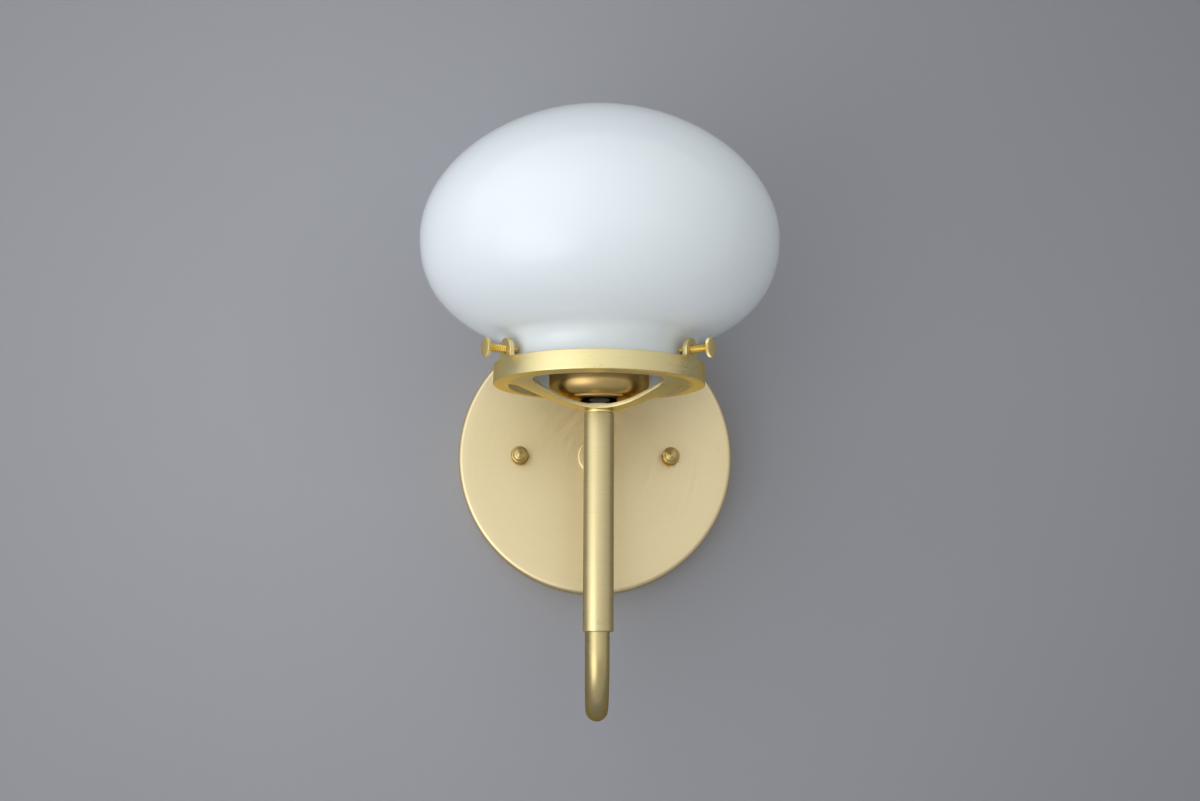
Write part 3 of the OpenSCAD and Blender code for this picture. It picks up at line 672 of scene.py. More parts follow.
# %% [markdown]
# ## Bent tubes and wires
# The arm is a straight brass tube that was bent twice. It is described the way a bender
# works: so far ahead, then a bend of so many degrees round an axis, and so on. A node
# tree then carries a circle along that path, and notes on the surface how far along it
# lies, so that a finish can follow the bends.

# %% Tube tree
def tube_tree():
    tree, size = new_tree("Tube", {"Radius": 4.7625, "Sides": 48, "Caps": 1}, True)
    travel = put(tree, "GeometryNodeSplineParameter", out="Length")
    noted = put(tree, "GeometryNodeStoreNamedAttribute", None, size["Geometry"],
                Name="along", Value=travel)
    section = put(tree, "GeometryNodeCurvePrimitiveCircle", None, size["Sides"],
                  Radius=size["Radius"])
    swept = put(tree, "GeometryNodeCurveToMesh", None, noted, section,
                **{"Fill Caps": size["Caps"]})
    return end_tree(swept, size["Finish"])


TUBE = tube_tree()


# %% Drive along a path
def drive(start, heading, *moves, step=4):
    """Points of a bent wire. A move is a length, or the (radius, degrees, axis) of a bend."""
    here, ahead = Vector(start), Vector(heading)
    points = [here.copy()]
    for move in moves:
        if isinstance(move, (int, float)):
            here = here + ahead * move
            points.append(here.copy())
            continue
        radius, degrees, axis = move
        centre = here + Vector(axis).cross(ahead) * radius
        count = max(2, round(degrees / step))
        for k in range(1, count + 1):
            turn = Matrix.Rotation(math.radians(degrees * k / count), 3, axis)
            points.append(centre + turn @ (here - centre))
        here = points[-1].copy()
        ahead = turn @ ahead
    return points


def tube(points, radius, material, sides=16, caps=1):
    """A tube of that radius along the points."""
    curve = bpy.data.curves.new("path", "CURVE")
    curve.dimensions = "3D"
    line = curve.splines.new("POLY")
    line.points.add(len(points) - 1)
    for point, place in zip(line.points, points):
        point.co = (*place, 1)
    return grown(TUBE, material, curve, Radius=float(radius), Sides=sides, Caps=caps)


# %% [markdown]
# ## Plates with cut-outs
# A plate with windows, slots or holes is drawn in plan. The area between its outlines is
# filled with triangles that keep to the outlines, and is then lifted twice, to its upper
# and its lower height. A cut-out is a function of an offset, so that its edge
# can be eased: the wall starts a little outside the opening and runs in along an arc.

# %% Fill between outlines
def inside(point, loops):
    """Even-odd test of a point against closed outlines."""
    x, y = point
    crossed = False
    for loop in loops:
        for (ax, ay), (bx, by) in zip(loop, loop[1:] + loop[:1]):
            if (ay > y) != (by > y) and x < ax + (y - ay) * (bx - ax) / (by - ay):
                crossed = not crossed
    return crossed


def filled(loops, extra, clear):
    """Triangles between closed outlines, with the extra points that keep clear of them."""
    points = [Vector(p) for loop in loops for p in loop]
    near = KDTree(len(points))
    for i, p in enumerate(points):
        near.insert((*p, 0), i)
    near.balance()
    edges, first = [], 0
    for loop in loops:
        edges += [(first + k, first + (k + 1) % len(loop)) for k in range(len(loop))]
        first += len(loop)
    points += [Vector(p) for p in extra if near.find((*p, 0))[2] > clear and inside(p, loops)]
    flat, _, faces, *_ = delaunay_2d_cdt(points, edges, [], 0, 1e-6)
    middles = [sum((flat[i] for i in face), Vector((0, 0))) / 3 for face in faces]
    return flat, [face for face, middle in zip(faces, middles) if inside(middle, loops)]


# %% Pierced plate
EASE_STEPS = 3
EASE_TURNS = [math.pi / 2 * k / EASE_STEPS for k in range(EASE_STEPS + 1)]
GRAIN = 3.1


def pierced(cut, kept, top, bottom, extra, ease=0.2, clear=0.3, rough=0.0):
    """A plate between two heights. cut holds outlines as functions of an offset, which get
    a wall with eased edges, and kept holds plain outlines, which stay open to be joined."""
    flat, faces = filled([outline(ease) for outline in cut] + kept, extra, clear)
    shape = bmesh.new()
    for height in (top, bottom):
        verts = [shape.verts.new((p.x, p.y, height(p.length))) for p in flat]
        for face in faces:
            shape.faces.new([verts[i] for i in face])
    for outline in cut:
        rows = []
        for height, way, order in ((top, -1, EASE_TURNS), (bottom, 1, EASE_TURNS[::-1])):
            for t in order:
                row = []
                for x, y in outline(ease * (1 - math.sin(t))):
                    z = height(math.hypot(x, y)) + way * ease * (1 - math.cos(t))
                    lump = noise.noise((x * GRAIN, y * GRAIN, z * GRAIN)) - 0.2
                    push = 1 + rough * math.sin(t) * lump / 40
                    row.append(shape.verts.new((x * push, y * push, z)))
                rows.append(row)
        for low, high in zip(rows, rows[1:]):
            strip(shape, low, high, 1 if rough else 0)
    return shape


# %% Outlines
def circle(radius, x=0.0, y=0.0, points=96):
    """A round outline as a function of the offset that widens it."""
    def outline(offset):
        r = radius + offset
        return [(x + r * c, y + r * s) for c, s in spokes(points)]
    return outline


def rings(radii, spacing):
    """Points on circles round the middle, about one spacing apart."""
    counts = [max(12, min(240, round(math.tau * r / spacing))) for r in radii]
    return [p for r, count in zip(radii, counts) for p in circle(r, points=count)(0)]


def grid(x0, x1, y0, y1, spacing):
    """Points on a square grid."""
    across, along = (int((b - a) / spacing) + 1 for a, b in ((x0, x1), (y0, y1)))
    return [(x0 + spacing * i, y0 + spacing * j) for i in range(across) for j in range(along)]


# %% [markdown]
# ## Canopy
# The canopy is a plate of thin brass, spun over a wooden form: a flat face, a narrow round
# edge and a straight rim that meets the wall. The face is pierced for the arm and for the
# two studs, so it is a plate with cut-outs, and the rim is turned and joined to it.

# %% Canopy
CANOPY_DEPTH = -span("canopy", "y")[0]
CANOPY_R = span("canopy", "x")[1]
CANOPY_SHEET = 1.2
CANOPY_EDGE = 2.0
FACE_R = 58
RIM_SIDES = 180
THREAD_R = 2.08
STUD_X = span("canopy_studs", "x")[1] - THREAD_R
STUD_CLEARANCE_R = 2.58
TUBE_R = span("arm", "x")[1]
TUBE_HOLE_R = TUBE_R + 0.05

edge_at = (CANOPY_R - CANOPY_EDGE, CANOPY_DEPTH - CANOPY_EDGE)
stud_holes = [circle(STUD_CLEARANCE_R, side * STUD_X, 0, 48) for side in (-1, 1)]
canopy_face = pierced([*stud_holes, circle(TUBE_HOLE_R)],
                      [circle(FACE_R, points=RIM_SIDES)(0)], lambda r: CANOPY_DEPTH,
                      lambda r: CANOPY_DEPTH - CANOPY_SHEET, rings(range(8, FACE_R, 3), 3), 0.1)
canopy_rim = [(FACE_R, CANOPY_DEPTH), *bow(*edge_at, CANOPY_EDGE, 90, 0, 10), (CANOPY_R, 4),
              (CANOPY_R, 0.2), (CANOPY_R - 0.2, 0), (CANOPY_R - CANOPY_SHEET, 0),
              *bow(*edge_at, CANOPY_EDGE - CANOPY_SHEET, 0, 90, 6),
              (FACE_R, CANOPY_DEPTH - CANOPY_SHEET)]
join(canopy_face, turned(canopy_rim, RIM_SIDES, True))
piece("spun_canopy", "canopy", (canopy_face, from_wall(), "satin_brass"))

# %% [markdown]
# Two cap nuts hold the canopy. Each was turned from a bar: a straight side, a rounded
# shoulder and a shallow cone, with faint rings where the cutter stopped and a small
# centre point. The seating ring under the arm is turned as well.

# %% Cap nuts and seating ring
NUT_R = 4.0
NUT_H = 9.0
NUT_SHOULDER = 1.2
STUD_HOLE_R = 2.13
bore = [(0, 7.0), (STUD_HOLE_R, 7.0), (STUD_HOLE_R, 0.3), (2.4, 0), (NUT_R - 0.3, 0),
        (NUT_R, 0.3), (NUT_R, 2.0)]
cone = [(2.6, 8.33), (2.5, 8.3), (2.4, 8.39), (1.6, 8.62), (1.5, 8.59), (1.4, 8.68),
        (0.5, 8.93), (0.2, 8.99), (0, NUT_H)]
shoulder = bow(NUT_R - NUT_SHOULDER, NUT_H - 1.3 - NUT_SHOULDER, NUT_SHOULDER, 0, 75, 8)
for side, name in ((-1, "left"), (1, "right")):
    at_stud = from_wall(side * STUD_X, -CANOPY_DEPTH)
    piece(f"cap_nut_{name}", f"canopy_nut_{name}",
          (turned(bore + shoulder + cone, 64), at_stud, "aged_brass"),
          body=f"canopy_nut_{name}")

seat = [(TUBE_HOLE_R, 0), (8.15, 0), (8.25, 0.1), *bow(7.35, 1.1, 0.9, 0, 90, 8),
        (TUBE_R + 0.35, 2.0), (TUBE_HOLE_R, 1.7)]
piece("seating_ring", "arm_seating_ring",
      (turned(seat), from_wall(0, -CANOPY_DEPTH), "satin_brass"))

# %% [markdown]
# ## Arm and sleeve
# The arm leaves the canopy, bends down, turns round at the bottom of the hook and runs up
# into the sleeve. Its wall is 1 mm, so the open tube gets that thickness inwards. The
# sleeve is a thicker tube with slightly rounded ends, and holds the nipple in its top.

# %% Arm
BEND_R = 25.4
ARM_END = 9.5
ARM_IN_SLEEVE = 14
SLEEVE_BOTTOM, SLEEVE_TOP = span("sleeve", "z")
SLEEVE_R = span("sleeve", "x")[1]
HOOK_Z = span("arm", "z")[0] + BEND_R + TUBE_R
DOWN, BACK_UP = (1, 0, 0), (-1, 0, 0)

to_the_hook = [BEND_R - ARM_END, (BEND_R, 90, DOWN), -BEND_R - HOOK_Z, (BEND_R, 180, BACK_UP)]
arm_line = drive((0, -ARM_END, 0), (0, -1, 0), *to_the_hook,
                 SLEEVE_BOTTOM + ARM_IN_SLEEVE - HOOK_Z)
arm_shape = worked(tube(arm_line, TUBE_R, "tube_brass", 64, 0), wall(1.0))
piece("bent_arm", "arm", (arm_shape, Matrix(), "tube_brass"), slot="satin_brass")

# %% Sleeve
NIPPLE_HOLE_R = 5.05
NIPPLE_IN_SLEEVE = 12
sleeve = eased([(SLEEVE_R, SLEEVE_BOTTOM, 0.5), (SLEEVE_R, SLEEVE_TOP, 0.5),
                (NIPPLE_HOLE_R, SLEEVE_TOP, 0.15), (NIPPLE_HOLE_R, SLEEVE_TOP - NIPPLE_IN_SLEEVE),
                (TUBE_HOLE_R, SLEEVE_TOP - NIPPLE_IN_SLEEVE), (TUBE_HOLE_R, SLEEVE_BOTTOM, 0.15)])
piece("upright_sleeve", "sleeve", (turned(sleeve), UPRIGHT, "sleeve_brass"), slot="satin_brass")

# %% [markdown]
# ## Shade holder
# The holder was cast in one piece and then turned. A ring carries the glass, a dished
# plate with three large windows joins it to the hub, and three lugs take the thumbscrews.
# The plate is pierced, and its windows keep the rough edge of the casting. The ring's wall
# is drawn unrolled, as angle and height, because its top edge runs up and over each lug.

# %% Holder sizes
RING_R = 44.45
RING_IN_R = 42.2
RING_Z, RING_TOP = 20.26, 28.41
RING_SIDES = 240
GLASS_FOOT = 22.26
DISH_Z, DISH_R, DISH_POWER, DISH_T = 8.95, 39.55, 1.66, 1.75
BOSS_R, HUB_R, HUB_TOP = 5.9, 8.6, 11.9
FLOOR_IN_R = 35.5
JOIN_R = 40.4
SCREW_Z = 31.91
LUG_R, LUG_FILLET = 4.7, 1.4
WINDOW_R, WINDOW_HALF, APEX, APEX_R, CORNER_R = 38.15, 50.9, 0.5, 24.4, 5.65
EDGE = 0.35


def dish(r):
    """Height of the underside of the dished plate."""
    return DISH_Z + (RING_Z - DISH_Z) * (min(r, DISH_R) / DISH_R) ** DISH_POWER


def holder_top(r):
    if r < HUB_R:
        return HUB_TOP
    return dish(r) + DISH_T if r < FLOOR_IN_R + 0.03 else GLASS_FOOT


def holder_bottom(r):
    return SLEEVE_TOP if r < BOSS_R + 0.03 else dish(r)


# %% Window
def between(a, b, parts):
    """Points that divide a straight stretch into equal parts."""
    steps = [k / parts for k in range(1, parts)]
    return [(a[0] + (b[0] - a[0]) * t, a[1] + (b[1] - a[1]) * t) for t in steps]


def window(middle):
    """The outline of one window, turned to its place, as a function of its offset."""
    half, reach = WINDOW_HALF, WINDOW_R - CORNER_R
    sine = math.sin(math.radians(half))
    side = half - math.degrees(math.asin((CORNER_R + APEX * sine) / reach))
    cx, cy = polar(reach, side)
    far = APEX + APEX_R / sine
    c, s = polar(1, middle)

    def outline(offset):
        shape = (bow(0, 0, WINDOW_R + offset, -side, side, 60)
                 + bow(cx, cy, CORNER_R + offset, side, 90 + half, 14)[1:])
        inner = bow(far, 0, APEX_R + offset, 90 + half, 270 - half, 26)
        last = bow(cx, -cy, CORNER_R + offset, 270 - half, 360 - side, 14)
        shape += between(shape[-1], inner[0], 30) + inner
        shape += between(inner[-1], last[0], 30) + last[:-1]
        return [(x * c - y * s, x * s + y * c) for x, y in shape]
    return outline


# %% Dished plate
hub_rings = [BOSS_R, BOSS_R + 0.06, 6.9, 7.8, HUB_R, HUB_R + 0.06]
dish_rings = [HUB_R + 1.05 * k for k in range(1, 26)]
floor_rings = [FLOOR_IN_R, FLOOR_IN_R + 0.08, 36.6, 37.6, 38.6, DISH_R]
holder_shape = pierced([window(-90), window(30), window(150), circle(NIPPLE_HOLE_R)],
                       [circle(JOIN_R, points=RING_SIDES)(0)], holder_top, holder_bottom,
                       rings(hub_rings + dish_rings + floor_rings, 1.0), 0.15, 0.3, 0.2)
print("dished plate:", len(holder_shape.faces), "faces")

# %% [markdown]
# The ring's top edge is one closed line of angle and height. Offset inwards in small
# steps it gives the rounding of the edge, and the flat rest of each lug is filled with
# triangles round its screw hole.

# %% Edge over a lug
MIDDLE_R = (RING_R + RING_IN_R) / 2
COLUMN = 1.5
PATCH = 8
COLUMNS_PER_LUG = 80
LUG_TURNS = (-150, -30, 90)
WALL_FOOT = 24.3
HOLE_R = 1.85
HOLE_EASE = 0.15


def lug_edge(offset):
    """Top edge across one lug as (distance round the ring, height), offset into the metal."""
    r, f = LUG_R, LUG_FILLET
    flats = [math.radians(k * COLUMN) * MIDDLE_R for k in (8, 7, 6, 5)]
    left = [(-u, RING_TOP - offset) for u in flats if u > r + f + 0.2]
    rise = bow(-r - f, RING_TOP + f, f + offset, -90, 0, 6)
    over = bow(0, SCREW_Z, r - offset, 180, 0, 28)
    half = left + rise + over[:15]
    return half + [(-u, z) for u, z in reversed(half[:-1])]


def at_lug(lug, points):
    """Points beside a lug, from distance round the ring to angle in degrees."""
    return [(lug + math.degrees(u / MIDDLE_R), z) for u, z in points]


# %% Whole ring edge
def ring_edge(offset):
    """The whole top edge as (angle in degrees, height)."""
    made = []
    for lug in LUG_TURNS:
        made += at_lug(lug, lug_edge(offset))
        made += [(lug + COLUMN * k, RING_TOP - offset)
                 for k in range(PATCH + 1, COLUMNS_PER_LUG - PATCH)]
    return made


def on_ring(radius, points):
    """Vertices of the holder at (angle in degrees, height) on a cylinder."""
    return [holder_shape.verts.new((*polar(radius, angle), z)) for angle, z in points]


outer = [(EDGE * (1 - math.sin(t)), RING_R - EDGE * (1 - math.cos(t))) for t in EASE_TURNS]
inner = [(offset, RING_R + RING_IN_R - r) for offset, r in reversed(outer)]
rows = [on_ring(r, ring_edge(offset)) for offset, r in outer + inner]
for low, high in zip(rows, rows[1:]):
    strip(holder_shape, low, high)


# %% Lugs and ring wall
def screw_hole(ease):
    return circle(HOLE_R + ease, 0, SCREW_Z, 36)(0)


for radius in (RING_R, RING_IN_R):
    for lug in LUG_TURNS:
        base = [(math.radians(k * COLUMN) * MIDDLE_R, WALL_FOOT)
                for k in range(PATCH, -PATCH - 1, -1)]
        flat, faces = filled([lug_edge(EDGE) + base, screw_hole(HOLE_EASE)],
                             grid(-9, 9, WALL_FOOT + 0.8, SCREW_Z + 5, 0.8), 0.45)
        verts = on_ring(radius, at_lug(lug, flat))
        for face in faces:
            holder_shape.faces.new([verts[i] for i in face])
        for k in range(PATCH, COLUMNS_PER_LUG - PATCH):
            a, b = lug + COLUMN * k, lug + COLUMN * (k + 1)
            spots = [(a, WALL_FOOT), (b, WALL_FOOT), (b, RING_TOP - EDGE), (a, RING_TOP - EDGE)]
            holder_shape.faces.new(on_ring(radius, spots))

for lug in LUG_TURNS:
    rows = [on_ring(r, at_lug(lug, screw_hole(ease))) for ease, r in (
        (HOLE_EASE, RING_R), (0, RING_R - HOLE_EASE),
        (0, RING_IN_R + HOLE_EASE), (HOLE_EASE, RING_IN_R))]
    for low, high in zip(rows, rows[1:]):
        strip(holder_shape, low, high)

# %% Ring floor
outside = [(RING_R, WALL_FOOT), (RING_R, 21.5), *bow(RING_R - EDGE, RING_Z + EDGE, EDGE, 0, -90, 4),
           (42.0, RING_Z), (JOIN_R, RING_Z)]
within = [(RING_IN_R, WALL_FOOT), (RING_IN_R, GLASS_FOOT + 0.3),
          (RING_IN_R - 0.1, GLASS_FOOT + 0.08), (RING_IN_R - 0.3, GLASS_FOOT),
          (JOIN_R, GLASS_FOOT)]
for outline in (outside, within):
    join(holder_shape, turned(outline, RING_SIDES, True))
piece("cast_holder", "shade_holder",
      (holder_shape, UPRIGHT @ Matrix.Rotation(math.radians(HOLDER_TURN), 4, "Z"),
       ("yellow_brass", "raw_edge")))

# %% [markdown]
# ## Thumbscrews, nuts and the threaded tube
# With the trees at hand these are a few lines each: a thread and a knurled head for each
# thumbscrew, and nuts of the right size on the nipple.

# %% Thumbscrews
HEAD_T = 1.6
TIP_R, HEAD_END_R = 38.82, 53.45
neck_end = HEAD_END_R - TIP_R - HEAD_T
for name, angle in (("left", -60), ("right", 60), ("back", 180)):
    shank = grown(THREAD, "polished_brass", Radius=1.75, Depth=0.5, Pitch=0.95,
                  Length=neck_end - 0.6, Chamfer=0.45, Sides=40, Rows=150)
    collar = turned(eased([(0, neck_end - 0.65), (1.7, neck_end - 0.65, 0.15),
                           (1.7, neck_end + 0.1), (0, neck_end + 0.1)]), 40)
    head = grown(KNURL, "polished_brass", Radius=4.1, Depth=0.5, Ridges=30, Thickness=HEAD_T,
                 Bevel=0.25)
    at_tip = up(TIP_R, radial(angle, SCREW_Z))
    piece(f"thumbscrew_with_thread_{name}", f"thumbscrew_{name}",
          (shank, at_tip, "polished_brass"), (collar, at_tip, "polished_brass"),
          (head, up(neck_end, at_tip), "knurled_brass"), body=f"thumbscrew_{name}", sharp=40)

# %% Nipple and its nuts
NIPPLE_BOTTOM, NIPPLE_TOP = span("nipple", "z")
nipple = grown(THREAD, "zinc_steel", Radius=5.0, Depth=0.45, Pitch=1.0,
               Length=NIPPLE_TOP - NIPPLE_BOTTOM, Bore=3.2, Chamfer=0.5, Sides=64, Rows=180)
piece("threaded_nipple", "nipple", (nipple, up(NIPPLE_BOTTOM), "zinc_steel"))
for name, node, height, material in (
        ("holder_nut", "holder_locknut", HUB_TOP, "dark_steel"),
        ("nut_in_cup", "cup_nut", span("cup_nut", "z")[0], "zinc_steel")):
    piece(name, node, (hexagon(material, 14.3, 2.4, NIPPLE_HOLE_R), up(height), material))

# %% [markdown]
# ## Glass shade
# The shade was blown into a mould. Its side is two quarters of a superellipse, a flatter
# one for the crown and a fuller one for the belly, and a small arc that leads into the
# neck. That is a rule, so a node tree bends one grid into the outer face, and the wall of
# 3 mm is then given inwards, with a fire-polished edge at the foot.

# %% Shade rule
SHADE = {"Radius": 76.2, "Crown height": 56.1, "Crown power": 1.893, "Belly depth": 49.1,
         "Belly power": 2.33, "Waist": 83.06, "Flare": 6.5, "Neck": 38.0, "Foot": GLASS_FOOT}
power = SHADE["Belly power"]
share = (SHADE["Neck"] + SHADE["Flare"]) / SHADE["Radius"]
fullness = share ** power
slope = math.atan(SHADE["Belly depth"] / SHADE["Radius"] * (1 - fullness) ** (1 / power - 1)
                  * share ** (power - 1))
SHADE["Belly end"] = math.acos(share ** (power / 2))
SHADE["Arc turn"] = math.pi / 2 - slope
SHADE["Arc radius"] = SHADE["Flare"] / (1 - math.cos(SHADE["Arc turn"]))
SHADE["Arc height"] = (SHADE["Waist"] - SHADE["Belly depth"] * (1 - fullness) ** (1 / power)
                       - SHADE["Arc radius"] * math.sin(SHADE["Arc turn"]))
print({key: round(value, 3) for key, value in SHADE.items()})


# %% Shade tree
CROWN_END, BELLY_END, FLARE_END = 0.4, 0.8, 0.92


def shade_tree():
    tree, size = new_tree("Shade", {**SHADE, "Sides": 192, "Rows": 141})
    grid_mesh, turn, row = rolled_grid(tree, size["Sides"], size["Rows"])
    s = row / (size["Rows"] - 1.0)
    crown, belly, flare = (calc("LESS_THAN", s, end + 0.0001)
                           for end in (CROWN_END, BELLY_END, FLARE_END))

    def quarter(angle, power, height):
        exponent = calc("DIVIDE", 2.0, power)
        wide, tall = (calc("POWER", calc("MAXIMUM", calc(side, angle), 0.0), exponent)
                      for side in ("COSINE", "SINE"))
        return size["Radius"] * wide, height * tall

    top_angle = (1.0 - ranged(s, 0.0, CROWN_END)) * (math.pi / 2)
    crown_r, crown_z = quarter(top_angle, size["Crown power"], size["Crown height"])
    low_angle = ranged(s, CROWN_END, BELLY_END) * size["Belly end"]
    belly_r, belly_drop = quarter(low_angle, size["Belly power"], size["Belly depth"])
    arc = (1.0 - ranged(s, BELLY_END, FLARE_END)) * size["Arc turn"]
    arc_r = size["Neck"] + size["Arc radius"] * (1.0 - calc("COSINE", arc))
    arc_z = size["Arc radius"] * calc("SINE", arc) + size["Arc height"]
    neck_run = size["Arc height"] - size["Foot"]
    neck_z = size["Arc height"] - ranged(s, FLARE_END, 1.0) * neck_run
    r = either(crown, crown_r, either(belly, belly_r, either(flare, arc_r, size["Neck"])))
    z = either(crown, size["Waist"] + crown_z,
               either(belly, size["Waist"] - belly_drop, either(flare, arc_z, neck_z)))
    return end_tree(bend_grid(grid_mesh, turn, r, z), size["Finish"])


# %% Shade
INSIDE_THE_SHADE = Vector((0, 0, 80))
glass = grown(shade_tree(), "opal_glass")
bmesh.ops.recalc_face_normals(glass, faces=glass.faces)
if sum(face.normal.dot(face.calc_center_median() - INSIDE_THE_SHADE)
       for face in glass.faces) < 0:
    bmesh.ops.reverse_faces(glass, faces=glass.faces)
polish = ("BEVEL", {"width": 1.1, "segments": 4, "angle_limit": math.radians(60)})
glass = worked(glass, wall(3.0), polish)
piece("glass_bowl", "glass_neck glass_belly glass_shade glass_crown glass_top",
      (glass, UPRIGHT, "opal_glass"), body="shade", sharp=50)

# %% [markdown]
# ## Socket cup, socket and bulb
# The cup is spun sheet with a stepped foot. Inside sit the moulded socket, its rolled
# screw shell and a round bulb with a rolled cap. They only show when the shade is lifted
# or through the holder's windows, but they are whole.

# %% Cup
CUP_Z, CUP_TOP = span("socket_cup", "z")
CUP_R = span("socket_cup", "x")[1]
LEDGE_R, CUP_STEP, CUP_CORNER, CUP_SHEET = 14.4, 0.8, 6.0, 0.8


def cup_side(inset):
    """Half section of the cup, moved inwards by inset, from the hole to the rim."""
    ledge = [(LEDGE_R - x, CUP_Z + inset + z) for x, z in ((0.25, 0), (0.07, 0.07), (0, 0.25))]
    return ledge + bow(CUP_R - CUP_CORNER, CUP_Z + CUP_STEP + CUP_CORNER, CUP_CORNER - inset,
                       -90, 0, 16)


rim = bow(CUP_R - CUP_SHEET / 2, CUP_TOP - CUP_SHEET / 2, CUP_SHEET / 2, 0, 180, 8)
cup = [(NIPPLE_HOLE_R, CUP_Z), *cup_side(0), *rim, *cup_side(CUP_SHEET)[::-1],
       (NIPPLE_HOLE_R, CUP_Z + CUP_SHEET)]
piece("socket_cup_spun", "socket_cup", (turned(cup, 128), UPRIGHT, "cup_brass"))

# %% Socket shell and contact
BULB_PITCH = 3.63
SHELL_Z, SHELL_TOP = span("screw_shell", "z")
rolled = grown(THREAD, "shell_brass", Radius=14.0, Depth=0.42, Pitch=BULB_PITCH,
               Length=SHELL_TOP - SHELL_Z, Chamfer=0.1, Rolled=1.0, Sides=96, Rows=90)
poles = [v for v in rolled.verts if math.hypot(v.co.x, v.co.y) < 1]
bmesh.ops.delete(rolled, geom=poles, context="VERTS")
rolled = worked(rolled, wall(0.45))
eye = turned(eased([(10, 0, 0.1), (13.8, 0), (13.8, 0.5), (10, 0.5, 0.1)]))
at_shell = up(SHELL_Z)
piece("rolled_screw_shell", "screw_shell", (rolled, at_shell, "shell_brass"),
      (eye, at_shell, "shell_brass"))
contact = turned([(0, 0), (3.2, 0), (3.2, 0.3), (2.8, 0.5), (1.2, 0.6), (0, 0.6)], 48)
piece("contact_disc", "centre_contact", (contact, at_shell, "shell_brass"))

# %% Bulb
BULB_Z, CAP_TOP = span("bulb_cap", "z")
GLOBE_R, GLOBE_WALL, GLOBE_NECK_R = 26.0, 0.8, 12.8
GLOBE_Z = span("bulb_globe", "z")[1] - GLOBE_R
cap_thread = grown(THREAD, "bulb_metal", Radius=13.0, Depth=0.75, Pitch=BULB_PITCH,
                   Length=CAP_TOP - BULB_Z - 6.6, Chamfer=0.75, Rolled=1.0, Sides=96, Rows=90)
skirt = turned(eased([(0, 21.9), (12.4, 21.9, 0.4), (13.0, 22.5, 0.3), (13.0, 25.3, 0.2),
                      (12.2, 25.3), (0, 25.3)]))
insulator = turned(eased([(0, 0.9), (4.6, 0.9), (9.0, 1.4, 0.4), (12.4, 3.7, 0.4), (0, 3.7)]))
button = turned(eased([(0, 0), (4.4, 0, 0.5), (4.8, 0.9, 0.2), (4.4, 1.4), (0, 1.4)]), 48)
at_bulb = up(BULB_Z)
piece("rolled_bulb_cap", "bulb_cap", (cap_thread, up(3.6, at_bulb), "bulb_metal"),
      (skirt, at_bulb, "bulb_metal"), (insulator, at_bulb, "phenolic"),
      (button, at_bulb, "bulb_metal"), body="bulb")

neck_z = CAP_TOP + 2
drop = GLOBE_Z - neck_z
touch = math.degrees(math.atan2(GLOBE_NECK_R, drop)
                     + math.acos(GLOBE_R / math.hypot(GLOBE_NECK_R, drop)))


def globe_side(inset):
    """Half section of the globe, moved inwards by inset, from its foot to the top."""
    r = GLOBE_NECK_R - inset
    sphere = bow(0, GLOBE_Z, GLOBE_R - inset, touch - 90, 90, 40)
    return [(r, CAP_TOP), (r, neck_z)] + [(max(0.0, x), z) for x, z in sphere]


globe = turned(globe_side(0) + globe_side(GLOBE_WALL)[::-1], 128)
piece("frosted_globe", "bulb_globe", (globe, UPRIGHT, "frosted_glass"), body="bulb")

# %% [markdown]
# ## Behind the canopy
# The canopy hides the steel that carries the lamp: a crossbar with slots for the outlet
# box, two studs with locknuts, the nut and toothed washer that clamp the arm, and the
# wires with their wire nuts. From behind, all of it is in plain view.

# %% Crossbar
BAR_X, BAR_T, BAR_W, BAR_CORNER = 54.0, 2.0, 16.0, 2.0
SLOT_X, SLOT_R, SLOT_HALF = 44.45, 2.3, 3.7
GROUND_X = 20.0


def bar_rim(offset):
    """Outline of the bar, with rounded corners."""
    x, y = BAR_X - BAR_CORNER, BAR_W / 2 - BAR_CORNER
    made = []
    for cx, cy, start in ((x, y, 0), (-x, y, 90), (-x, -y, 180), (x, -y, 270)):
        made += bow(cx, cy, BAR_CORNER - offset, start, start + 90, 6)
    return made


def slot(x):
    """A long hole for one screw of the outlet box."""
    def outline(offset):
        r = SLOT_R + offset
        return bow(x + SLOT_HALF, 0, r, -90, 90, 12) + bow(x - SLOT_HALF, 0, r, 90, 270, 12)
    return outline


bar_holes = [slot(-SLOT_X), slot(SLOT_X), circle(6.35, points=48),
             *(circle(STUD_HOLE_R, x, 0, 32) for x in (-STUD_X, STUD_X, GROUND_X))]
bar = pierced([bar_rim, *bar_holes], [], lambda r: BAR_T, lambda r: 0.0,
              grid(-52, 52, -6, 6, 3), 0.25, 1.0)
piece("slotted_crossbar", "crossbar", (bar, from_wall(), "zinc_steel"))

# %% Studs, locknuts and the arm's nut
INSIDE_Y = CANOPY_SHEET - CANOPY_DEPTH
WASHER_T = 0.8
machine_thread = {"Radius": THREAD_R, "Depth": 0.38, "Pitch": 0.794, "Sides": 32}
studs = [(grown(THREAD, "zinc_steel", **machine_thread, Length=22.6, Chamfer=0.5, Rows=232),
          from_wall(side * STUD_X), "zinc_steel") for side in (-1, 1)]
piece("threaded_studs", "canopy_studs", *studs)
locknuts = [(hexagon("zinc_steel", 8.7, 3.0, STUD_HOLE_R), from_wall(side * STUD_X, -BAR_T),
             "zinc_steel") for side in (-1, 1)]
piece("stud_nuts", "stud_locknuts", *locknuts)
arm_nut = hexagon("zinc_steel", 14.0, 3.0, TUBE_HOLE_R)
piece("arm_nut", "arm_locknut", (arm_nut, from_wall(0, INSIDE_Y + WASHER_T + 3), "zinc_steel"))


